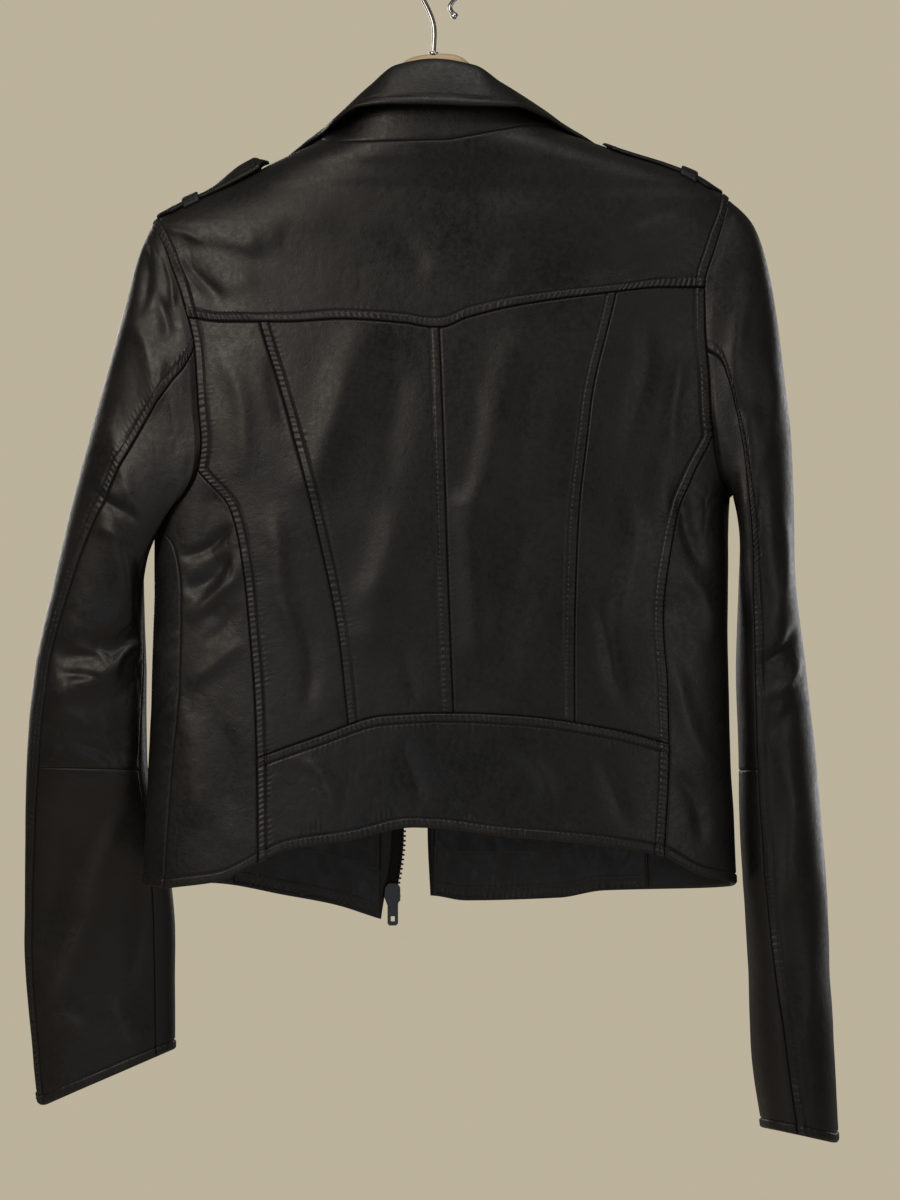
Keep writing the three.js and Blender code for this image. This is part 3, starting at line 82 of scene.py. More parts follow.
# The largest folds, as in the part: a line, its half width and how far it stands out.
FOLDS = {
    "back": table(
        "x1 z1 x2 z2 wide out",
        (-52, -140, -84, -235, 16, 2.5), (-24, -270, -46, -345, 14, 2), (56, -150, 32, -250, 15, 2.5),
        (24, -255, 30, -350, 11, 2), (170, -208, 160, -255, 12, 2.5), (168, -330, 190, -420, 12, -3),
        (-155, -255, -160, -330, 11, -4), (-168, -330, -140, -300, 9, 2.5), (-186, -62, -130, -74, 9, 2),
        (-176, -80, -152, -112, 9, -2.5), (-255, -360, -212, -352, 9, -5), (-262, -388, -226, -372, 9, 4),
        (-218, -446, -250, -560, 14, 3), (-228, -250, -208, -330, 11, 3), (222, -197, 224, -420, 9, 3),
        (262, -345, 236, -372, 9, -3)),
    "front": table(
        "x1 z1 x2 z2 wide out",
        (-120, -240, -70, -330, 18, 3), (-160, -300, -120, -420, 16, -3), (130, -230, 90, -330, 18, 3),
        (160, -330, 130, -460, 16, -3), (-262, -350, -214, -366, 10, -4), (-258, -420, -226, -560, 14, 3),
        (240, -380, 252, -360, 10, -4), (246, -430, 256, -600, 12, 3)),
}

YOKE_SEAM = [(-147, -127), (-103, -127), (-63, -125), (-20, -128), (4, -131), (24, -124), (62, -115),
             (120, -107), (162, -103)]
CENTRE_SEAM = [(4, -131), (7, -207), (10, -300), (14, -401)]
DART = {"left": [(-122, -127), (-103, -191), (-82, -272), (-67, -345), (-60, -409)],
        "right": [(128, -106), (110, -187), (101, -280), (99, -340), (99, -408)]}
PANEL_SEAM = {
    "left": [(-123, -506), (-124, -433), (-125, -398), (-129, -345), (-134, -297), (-143, -258)],
    "right": [(162, -501), (165, -423), (164, -385), (161, -336), (168, -278), (182, -234)]}
BAND_SEAM = [(-80, -417), (-36, -403), (14, -401), (60, -403), (123, -412)]
BAND_HEM = [(-103, -497), (-58, -490), (-14, -481), (45, -487), (112, -493)]
SIDE_SEAM = {"left": [(-189, -524), (-184, -450), (-178, -380), (-177, -320), (-182, -285)],
             "right": [(209, -522), (207, -450), (205, -380), (204.8, -320), (205.6, -280)]}
SIDE_HEM = {"left": (-152, -519), "right": (190, -515)}
FRONT_HEM = {"left": [(-37, -545), (-69, -535), (-103, -528.5), (-152, -520), (-197, -518)],
             "right": [(-2, -528.5), (23, -532), (89, -530), (120, -525), (196, -523)]}
FRONT_EDGE = {
    "left": [(-37, -545), (-29, -486), (-30, -339), (-36, -190), (-54, -110), (-67, -50), (-76, -12)],
    "right": [(-2, -528.5), (-4, -482), (-4, -357), (-3, -220), (30, -130), (66, -50), (86, -8)]}
NECK_POINT = {"left": 1, "right": 5}
NECK_SEAM = [(-53, -1), (0, 0), (25, 3), (46, 7), (70, 11)]

SLEEVE = {
    "left": table(
        "ring ox oz ix iz y deep seam inner fit",
        (0, -197, -59, -195, -264, 0, 33, 88, 180, 1), (1, -207, -84, -197.5, -269, 2, 35, 84, 180, 0.86),
        (2, -218, -124, -200, -275, 4, 37, 79, 179, 0.7), (3, -235, -187, -202, -285, 7, 38, 71, 177, 0.48),
        (4, -250, -243, -203, -300, 11, 38, 63, 174, 0.26),
        (5, -265, -305, -202.5, -330, 15, 36, 51, 168, 0.08),
        (6, -279, -368, -201.5, -372, 20, 34, 43, 160, 0), (7, -285, -430, -200.5, -432, 27, 31, 39, 148, 0),
        (8, -286, -490, -188, -488, 45, 27, 31, 138, 0), (9, -286, -560, -181, -552, 62, 24, 26, 134, 0),
        (10, -281, -635, -181, -605, 68, 22, 25, 134, 0), (11, -277, -677, -181, -636, 70, 22, 25, 134, 0)),
    "right": table(
        "ring ox oz ix iz y deep seam inner fit",
        (0, 207, -42, 208.3, -248, 0, 33, 88, 180, 1), (1, 224, -60, 210.5, -254, 3, 38, 90, 181, 0.86),
        (2, 236, -98, 212.5, -261, 6, 42, 95, 183, 0.7), (3, 245, -158, 214, -271, 10, 45, 101, 187, 0.48),
        (4, 251, -222, 214, -286, 13, 47, 106, 192, 0.26), (5, 253, -290, 213, -315, 16, 48, 110, 198, 0.08),
        (6, 259, -360, 212, -365, 20, 49, 114, 204, 0), (7, 267, -428, 213, -430, 24, 49, 117, 208, 0),
        (8, 274, -505, 216, -505, 30, 48, 117, 210, 0), (9, 277, -575, 220, -575, 34, 46, 108, 208, 0),
        (10, 281, -640, 222, -636, 36, 44, 97, 206, 0), (11, 284, -702, 229, -691, 38, 42, 92, 205, 0)),
}
ELBOW_RING = 7.15
CUFF_RING = 11
HEAD_ROLL = 0.6
PIT_ROLL = 3.4

COLLAR = table(
    "v fx fy fz ex ey ez",
    (-1, -60, 54, -54, -124, 52, -76), (-0.8, -70, 39, -14, -118, 45, -30),
    (-0.65, -72, 14, 4.5, -94, 18, -5), (-0.55, -67, -5, 10, -79.5, -8, 5),
    (-0.42, -55, -23, 21, -70, -34, 14), (-0.3, -41, -35, 36, -53, -49, 24),
    (-0.18, -26, -42, 49, -32, -56, 25.5), (0, 1, -45, 53.5, 2, -58, 25), (0.18, 29, -42, 49, 34, -56, 24),
    (0.3, 44, -35, 38, 58, -49, 24), (0.42, 60, -23, 27, 78, -34, 17), (0.55, 78, -5, 14, 95, -8, 7.5),
    (0.65, 82, 14, 8.5, 110, 22, -0.5), (0.8, 78, 38, -7, 135, 45, -24), (1, 58, 53, -50, 135, 52, -70))
COLLAR_NECK_END = 0.6
COLLAR_DROP = 3 / 12          # how far down the front's armhole rows the collar reaches
COLLAR_TIGHT = 2              # how much further the fall stands off the stand at its front ends

LAPEL = {
    "left": {"top": (-71, -58), "tip": (-142, -86), "edge": [(-112, -128), (-72, -168)], "foot": (-46, -192),
             "break": (-38, -192)},
    "right": {"top": (62, -58), "tip": (152, -86), "edge": [(112, -136), (54, -190)], "foot": (8, -222),
              "break": (-2, -222)},
}
STRAP = {"width": 34, "loop_wide": 11, "loop_thick": 1.4, "hollow": 0.13, "point": 0.09,
         "blunt": 1.6}
# The right strap is thinner than its solid, because it hardly shows from behind.
EPAULETTE = {"left": {"from": -193, "to": -114, "y": 4, "lift": 7, "loop": -169, "thick": 2.4},
             "right": {"from": 202, "to": 118, "y": 3, "lift": 0.2, "loop": 178, "thick": 1.5}}
TAPE = {"width": 8, "thick": 1.2}
RIGHT_TAPE = {"in_from": 49, "in_to": 69, "width": 13, "foot": -529.5, "top": -255}
HANGER = {"thick": 10, "tall": 22, "reach": 150, "rise": 60, "neck": 42, "blunt": 4,
          "shoulder": 92, "under": 3.6, "middle": 4, "arch": 34, "arch_fall": 0.3}
HOOK = {"wire": 1.7, "radius": 21.7, "x": 6, "lean_x": -7, "lean_z": 98, "straight": 81, "flare_x": 11.5,
        "flare_z": 93, "tip_x": 14.5, "tip_z": 87, "ball": 2.6}
FACING = {"height": 38, "thick": 1.2, "gap": 0.8, "left": -140, "right": 151, "level": -520}
PIT_SHARE = 0.54
BAND_SHARE = 0.25
CORNER = 2 / 3


# ---------- numbers along curves ----------
def follow(rows, key, column):
    """The smooth curve of one column against another, without overshoot."""
    rows = sorted(rows, key=lambda row: row[key])
    at = np.array([row[key] for row in rows], float)
    value = np.array([row[column] for row in rows], float)
    rise = np.diff(value) / np.diff(at)
    before, after = np.append(rise[0], rise), np.append(rise, rise[-1])
    total = before + after
    slope = np.where(before * after <= 0, 0, 2 * before * after / np.where(total == 0, 1, total))

    def curve(x):
        x = np.asarray(x, float)
        i = np.clip(np.searchsorted(at, x) - 1, 0, len(at) - 2)
        span = at[i + 1] - at[i]
        u = np.clip((x - at[i]) / span, 0, 1)
        rest = x - (at[i] + u * span)
        return (value[i] + (value[i + 1] - value[i]) * u * u * (3 - 2 * u)
                + span * u * (1 - u) * (slope[i] * (1 - u) - slope[i + 1] * u)
                + rest * np.where(rest < 0, slope[i], slope[i + 1]))
    return curve


def smoothstep(x, low, high):
    u = np.clip((x - low) / (high - low), 0, 1)
    return u * u * (3 - 2 * u)


def lerp(a, b, u):
    return a + (b - a) * u


def rounded(value, square):
    return np.sign(value) * np.abs(value) ** (2 / square)


# The whole numbers that scramble a cell's place into its noise value.
HASH = {"axes": (73856093, 19349663, 83492791), "seed": 97, "stir": 1274126177}


def noise(points, size, seed):
    """Smooth noise from -1 to 1 with features about `size` across, the same on every run."""
    at = np.asarray(points, float) / size + 31.7 * seed
    cell = np.floor(at).astype(np.int64)
    share = at - cell
    share = share * share * (3 - 2 * share)
    total = 0
    for corner in np.ndindex(2, 2, 2):
        spot = cell + np.array(corner)
        mixed = seed * HASH["seed"]
        for axis, prime in enumerate(HASH["axes"]):
            mixed = mixed ^ (spot[..., axis] * prime)
        mixed = (mixed ^ (mixed >> 13)) * HASH["stir"]
        value = ((mixed ^ (mixed >> 16)) & 0xFFFF) / 32767.5 - 1
        weight = np.prod(np.where(np.array(corner) == 1, share, 1 - share), axis=-1)
        total = total + value * weight
    return total


def line_noise(along, size, seed):
    along = np.asarray(along, float)
    return noise(np.stack([along, np.zeros_like(along), np.zeros_like(along)], -1), size, seed)


# ---------- the body's surface ----------
body_at = {column: follow(BODY, "z", column) for column in ("left", "right", "back", "front")}


def fold_lift(x, z, folds):
    lift = 0
    for fold in folds:
        dx, dz = fold["x2"] - fold["x1"], fold["z2"] - fold["z1"]
        along = np.clip(((x - fold["x1"]) * dx + (z - fold["z1"]) * dz) / (dx * dx + dz * dz), 0, 1)
        away = np.hypot(x - fold["x1"] - along * dx, z - fold["z1"] - along * dz) / fold["wide"]
        lift = lift + fold["out"] * np.exp(-away * away)
    return lift


def body_point(phi, z):
    sin, cos = np.sin(phi), np.cos(phi)
    x = rounded(sin, BODY_SQUARE) * np.where(sin < 0, body_at["left"](z), body_at["right"](z))
    lift = np.where(cos > 0, fold_lift(x, z, FOLDS["back"]), fold_lift(x, z, FOLDS["front"]))
    depth = np.where(cos > 0, body_at["back"](z), body_at["front"](z))
    depth = depth + lift * smoothstep(np.abs(cos), 0.3, 0.8)
    return np.stack([x, -rounded(cos, BODY_SQUARE) * depth, z + 0 * x], -1)


def unit(vectors):
    return vectors / np.maximum(np.linalg.norm(vectors, axis=-1, keepdims=True), 1e-9)


def body_normal(phi, z):
    turn, rise = 0.004, 0.5
    across = body_point(phi + turn, z) - body_point(phi - turn, z)
    up = body_point(phi, z + rise) - body_point(phi, z - rise)
    return unit(np.cross(across, up))


def on_back(x, z):
    """A place on the body, as an array of phi and z, of a point on its back."""
    reach = body_at["left"](z) if x < 0 else body_at["right"](z)
    return np.array([math.copysign(math.asin(min(abs(x) / reach, 1) ** (BODY_SQUARE / 2)), x), z])


def on_front(x, z, side):
    place = on_back(x, z)
    place[0] = (-math.pi if side == "left" else math.pi) - place[0]
    return place


def on_backs(spots):
    return [on_back(*spot) for spot in spots]


def on_fronts(spots, side):
    return [on_front(*spot, side) for spot in spots]


def run_through(places):
    """A run from 0 to 1 through places on the body, evenly by length."""
    places = np.array(places, float)
    points = body_point(places[:, 0], places[:, 1])
    length = np.append(0, np.cumsum(np.linalg.norm(np.diff(points, axis=0), axis=1)))
    rows = [{"u": u, "phi": phi, "z": z} for u, (phi, z) in zip(length / length[-1], places)]
    phi, z = follow(rows, "u", "phi"), follow(rows, "u", "z")
    return lambda u: np.array([phi(u), z(u)])


def stretch(run, start, end):
    return lambda u: run(lerp(start, end, u))


def reversed_run(run):
    return lambda u: run(1 - u)


def last_where(test, low, high):
    """The values between low and high where a test that holds at the low end stops holding."""
    for _ in range(40):
        middle = (low + high) / 2
        holds = test(middle)
        low, high = np.where(holds, middle, low), np.where(holds, high, middle)
    return (low + high) / 2


PHI, Z = 0, 1


def passes(run, key, value):
    """Where along a run its phi or z passes a value."""
    rising = run(1.0)[key] > run(0.0)[key]
    return float(last_where(lambda u: (run(u)[key] < value) == rising, 0.0, 1.0))


def joined(first, second, at):
    return lambda u: np.where(u <= at, first(np.minimum(u / at, 1)),
                              second(np.maximum((u - at) / (1 - at), 0)))


def region(left, right, bottom, top):
    """A four-sided region between four runs that share their corners."""
    def place(s, t):
        zero, one = np.zeros_like(s), np.ones_like(s)
        return ((1 - s) * left(t) + s * right(t) + (1 - t) * bottom(s) + t * top(s)
                - (1 - s) * (1 - t) * bottom(zero) - s * (1 - t) * bottom(one)
                - (1 - s) * t * top(zero) - s * t * top(one))
    return place


# ---------- armholes and seams ----------
arm_out = {side: follow(ARMHOLE[side]["rows"], "z", "x") for side in ARMHOLE}


def armhole_place(side, turn):
    """The armhole's edge: turn is 0 at the shoulder tip, pi at the pit, over the back."""
    turn = np.asarray(turn, float)
    hole = ARMHOLE[side]
    z = lerp(hole["pit"], hole["tip"], (1 + rounded(np.cos(turn), SLEEVE_SQUARE)) / 2)
    reach = body_at[side](z)
    phi = hole["sign"] * np.arcsin(np.minimum(arm_out[side](z) / reach, 1) ** (BODY_SQUARE / 2))
    phi = np.where(np.sin(turn) >= 0, phi, hole["sign"] * math.pi - phi)
    return np.array([np.where(np.abs(np.sin(turn)) < 1e-6, hole["sign"] * QUARTER, phi), z])


def armhole_turn(side, z):
    hole = ARMHOLE[side]
    height = 2 * (z - hole["pit"]) / (hole["tip"] - hole["pit"]) - 1
    return math.acos(math.copysign(abs(height) ** (SLEEVE_SQUARE / 2), height))


def armhole_run(side, start, end):
    return lambda u: armhole_place(side, lerp(start, end, u))


SIDES = ("left", "right")
# The first seed of each kind of piece; the body's start from 1.
SEEDS = {"sleeves": 30, "collar_stand": 50, "collar_fall": 51, "lapels": 52, "straps": 60, "loops": 62,
         "facings": 70, "linings": 80}
SEEDS_A_SLEEVE = 7
yoke_turn = {side: armhole_turn(side, ARMHOLE[side]["yoke"]) for side in SIDES}
panel_turn = {side: armhole_turn(side, ARMHOLE[side]["panel"]) for side in SIDES}
yoke_end = {side: armhole_place(side, yoke_turn[side]) for side in SIDES}
yoke_seam = run_through([yoke_end["left"], *on_backs(YOKE_SEAM), yoke_end["right"]])


def on_run(run, x, z):
    return run(passes(run, PHI, on_back(x, z)[PHI]))


centre_top = on_run(yoke_seam, 4, -131)
dart_top = {side: on_run(yoke_seam, *DART[side][0]) for side in SIDES}
panel_seam, band_corner, side_seam = {}, {}, {}
for side in SIDES:
    panel_seam[side] = run_through([*on_backs(PANEL_SEAM[side]),
                                    armhole_place(side, panel_turn[side])])
    band_corner[side] = passes(panel_seam[side], Z, PANEL_SEAM[side][1][1])
    side_places = [on_back(*spot) if side == "left" else on_front(*spot, side) for spot in SIDE_SEAM[side]]
    side_seam[side] = run_through([*side_places, armhole_place(side, math.pi)])
band_seam = run_through([panel_seam["left"](band_corner["left"]), *on_backs(BAND_SEAM),
                         panel_seam["right"](band_corner["right"])])
band_hem = run_through([panel_seam["left"](0.0), *on_backs(BAND_HEM),
                        panel_seam["right"](0.0)])
centre_foot = on_run(band_seam, 14, -401)
dart_foot = {side: on_run(band_seam, *DART[side][-1]) for side in SIDES}
centre_seam = run_through([centre_foot, *on_backs(CENTRE_SEAM[2:0:-1]), centre_top])
dart = {side: run_through([dart_foot[side], *on_backs(DART[side][-2:0:-1]),
                           dart_top[side]])
        for side in SIDES}


def between(run, a, b):
    return stretch(run, passes(run, PHI, a[PHI]), passes(run, PHI, b[PHI]))


def quartered(run, corners):
    """A run whose quarters end where the four back panels do."""
    places = np.array([0, *[passes(run, PHI, corner[PHI]) for corner in corners], 1])

    def quarter_run(u):
        quarter = np.clip(np.floor(np.asarray(u) * 4).astype(int), 0, 3)
        return run(lerp(places[quarter], places[quarter + 1], np.asarray(u) * 4 - quarter))
    return quarter_run


def shoulder(side, start, end):
    return lambda u: np.array([ARMHOLE[side]["sign"] * QUARTER + 0 * u, lerp(start, end, u)])


neck_place = {side: np.array([ARMHOLE[side]["sign"] * QUARTER, NECK_POINT[side]]) for side in SIDES}
neck_seam = run_through([neck_place["left"], *on_backs(NECK_SEAM), neck_place["right"]])
front_edge, front_hem = {}, {}
for side in SIDES:
    front_edge[side] = run_through([*on_fronts(FRONT_EDGE[side], side), neck_place[side]])
    front_hem[side] = run_through([*on_fronts(FRONT_HEM[side], side),
                                   side_seam[side](0.0)])


# ---------- regions of the cut pieces ----------
yoke_top = joined(
    joined(shoulder("left", ARMHOLE["left"]["tip"], NECK_POINT["left"]), stretch(neck_seam, 0, 0.5), 0.5),
    joined(stretch(neck_seam, 0.5, 1), shoulder("right", NECK_POINT["right"], ARMHOLE["right"]["tip"]), 0.5),
    0.5)


def side_back_edge(side):
    seam = stretch(panel_seam[side], band_corner[side], 1)
    return joined(seam, armhole_run(side, panel_turn[side], yoke_turn[side]), CORNER)


def whole_panel_seam(side):
    corner = band_corner[side]
    return joined(stretch(panel_seam[side], 0, corner), stretch(panel_seam[side], corner, 1), BAND_SHARE)


side_hem = {
    "left": run_through([side_seam["left"](0.0), on_back(*SIDE_HEM["left"]), panel_seam["left"](0.0)]),
    "right": run_through([panel_seam["right"](0.0), on_back(*SIDE_HEM["right"]), side_seam["right"](0.0)])}


def front_side(side):
    return joined(side_seam[side], armhole_run(side, -math.pi, 0), PIT_SHARE)


BODY_REGIONS = {
    "back_yoke": region(
        armhole_run("left", yoke_turn["left"], 0), armhole_run("right", yoke_turn["right"], 0),
        quartered(yoke_seam, [dart_top["left"], centre_top, dart_top["right"]]), yoke_top),
    "back_side_left": region(
        side_back_edge("left"), dart["left"],
        between(band_seam, panel_seam["left"](band_corner["left"]), dart_foot["left"]),
        between(yoke_seam, yoke_end["left"], dart_top["left"])),
    "back_side_right": region(
        dart["right"], side_back_edge("right"),
        between(band_seam, dart_foot["right"], panel_seam["right"](band_corner["right"])),
        between(yoke_seam, dart_top["right"], yoke_end["right"])),
    "back_centre_left": region(
        dart["left"], centre_seam, between(band_seam, dart_foot["left"], centre_foot),
        between(yoke_seam, dart_top["left"], centre_top)),
    "back_centre_right": region(
        centre_seam, dart["right"], between(band_seam, centre_foot, dart_foot["right"]),
        between(yoke_seam, centre_top, dart_top["right"])),
    "back_band": region(
        stretch(panel_seam["left"], 0, band_corner["left"]),
        stretch(panel_seam["right"], 0, band_corner["right"]),
        band_hem, quartered(band_seam, [dart_foot["left"], centre_foot, dart_foot["right"]])),
    "side_panel_left": region(
        side_seam["left"], whole_panel_seam("left"), side_hem["left"],
        armhole_run("left", math.pi, panel_turn["left"])),
    "side_panel_right": region(
        whole_panel_seam("right"), side_seam["right"], side_hem["right"],
        armhole_run("right", panel_turn["right"], math.pi)),
    "front_left": region(
        front_edge["left"], front_side("left"), front_hem["left"],
        shoulder("left", NECK_POINT["left"], ARMHOLE["left"]["tip"])),
    "front_right": region(
        front_side("right"), front_edge["right"], reversed_run(front_hem["right"]),
        shoulder("right", ARMHOLE["right"]["tip"], NECK_POINT["right"])),
}


# ---------- grids of points ----------
# How a seam or edge looks: its groove, the band of turned leather beside it, its puckers, its stitch line,
# and how far past that its puckers may reach.
SEAM_LOOKS = {
    "stitched": {"groove": 1.5, "band": 0.7, "pucker": 0.42, "stitch": 7.0},
    "strong": {"groove": 1.6, "band": 0.85, "pucker": 0.60, "stitch": 7.0},
    "plain": {"groove": 1.2, "band": 0.0, "pucker": 0.05, "stitch": 0},
    "under": {"groove": 2.2, "band": 0.0, "pucker": 0.08, "stitch": 0},
    "over": {"groove": 0.35, "band": 0.15, "pucker": 0.10, "stitch": 0},
    "hem": {"groove": 0.6, "band": 0.5, "pucker": 0.60, "stitch": 7.0, "reach": 15},
    "edge": {"groove": 0.6, "band": 0.35, "pucker": 0.12, "stitch": 5.5},
    "cut": {"groove": 0.6, "band": 0.0, "pucker": 0.0, "stitch": 0},
}
FINE_CELL = 0.7               # mm, the cells along a seam
PUCKER_PITCH = 3.7            # mm
STITCH_GROOVE = {"deep": 0.85, "half": 0.6}


def lengths(grid, axis):
    """Distance from the grid's first row or column, along its lines."""
    step = np.linalg.norm(np.diff(grid, axis=axis), axis=-1)
    start = np.zeros_like(np.take(step, [0], axis=axis))
    return np.concatenate([start, np.cumsum(step, axis=axis)], axis=axis)


def stations(total, step, reaches):
    """Shares from 0 to 1 of a length: steps of `step` mm, and fine ones within each end's reach."""
    at = np.linspace(0, total, 400)
    cells = np.full_like(at, 1 / step)
    for reach, away in zip(reaches, (at, total - at)):
        cells = np.maximum(cells, (1 - smoothstep(away, reach - 1, reach + 2)) / min(FINE_CELL, step))
    count = np.append(0, np.cumsum((cells[1:] + cells[:-1]) / 2 * np.diff(at)))
    return np.interp(np.linspace(0, count[-1], math.ceil(count[-1]) + 1), count, at) / total


def even_grid(point, across, up, edges=None):
    """A grid on point(s, t), with cells about `across` by `up` mm and finer ones along its seams."""
    s, t = np.meshgrid(np.linspace(0, 1, 25), np.linspace(0, 1, 25))
    rough = point(s, t)
    reach = {edge: 0 if edges is None else SEAM_LOOKS[edges.get(edge, "plain")]["stitch"] + 2
             for edge in ("left", "right", "bottom", "top")}
    s, t = np.meshgrid(stations(lengths(rough, 1)[:, -1].max(), across, (reach["left"], reach["right"])),
                       stations(lengths(rough, 0)[-1, :].max(), up, (reach["bottom"], reach["top"])))
    return point(s, t)


def normals(grid):
    return unit(np.cross(np.gradient(grid, axis=1), np.gradient(grid, axis=0)))


def draw_in(grid, inset):
    """Draws the grid's four edges in by `inset` mm."""
    moved = grid.copy()
    for edge, inner in (((slice(None), 0), (slice(None), 1)), ((slice(None), -1), (slice(None), -2)),
                        ((0,), (1,)), ((-1,), (-2,))):
        moved[edge] += unit(grid[inner] - grid[edge]) * inset
    return moved


def edge_frames(grid):
    """For each edge, every point's distance from it and its place along it."""
    across, up = lengths(grid, 1), lengths(grid, 0)
    return {"left": (across, up[:, :1]), "right": (across[:, -1:] - across, up[:, -1:]),
            "bottom": (up, across[:1]), "top": (up[-1:] - up, across[-1:])}


# ---------- relief of seams, folds and creases ----------
GROOVE_HALF = 0.75            # mm, half the width of a seam's groove
PUCKER_STRENGTH = {"mean": 0.65, "long": 0.7, "short": 0.5, "least": 0.2, "most": 1.4}


def seam_relief(grid, edges, seed):
    """The relief of the edges' seams: grooves, raised bands with a ladder of puckers, and stitch lines."""
    relief = np.zeros(grid.shape[:2])
    for count, (edge, (away, along)) in enumerate(edge_frames(grid).items()):
        look = SEAM_LOOKS[edges.get(edge, "plain")]
        key = seed * 11 + count
        relief = relief - look["groove"] * np.exp(-(away / GROOVE_HALF) ** 2)
        stitch = look["stitch"]
        if stitch:
            flat = smoothstep(away, 0, 1.5) * (1 - smoothstep(away, stitch - 1.5, stitch + 0.2))
            line = np.exp(-((away - stitch) / STITCH_GROOVE["half"]) ** 2)
            relief = relief + look["band"] * flat - STITCH_GROOVE["deep"] * line
        if look["pucker"]:
            phase = 2 * math.pi * (along / PUCKER_PITCH + 1.1 * line_noise(along, 21, key))
            force = PUCKER_STRENGTH
            strength = (force["mean"] + force["long"] * line_noise(along, 26, key + 3)
                        + force["short"] * line_noise(along, 4, key + 9))
            strength = np.clip(strength, force["least"], force["most"])
            slant = 0.7 * line_noise(away + 40 * count, 6, key + 7)
            # Broad crests with narrow valleys between them.
            ladder = 2 * np.abs(np.sin((phase + slant) / 2)) ** 0.75 - 1.25
            inside = smoothstep(away, 0.1, 1.0) * (1 - smoothstep(away, max(stitch, 5) - 0.9, max(stitch, 5)))
            relief = relief + look["pucker"] * strength * inside * ladder
            reach = 2 + look.get("reach", 8) * np.clip(line_noise(along, 9, key + 5) + 0.15, 0, 1)
            fade = 1 - smoothstep(away, stitch + 0.3 * reach, stitch + reach)
            past = smoothstep(away, stitch, stitch + 1.2) * fade
            relief = relief + 0.45 * look["pucker"] * strength * past * np.sin(phase + slant)
    return relief


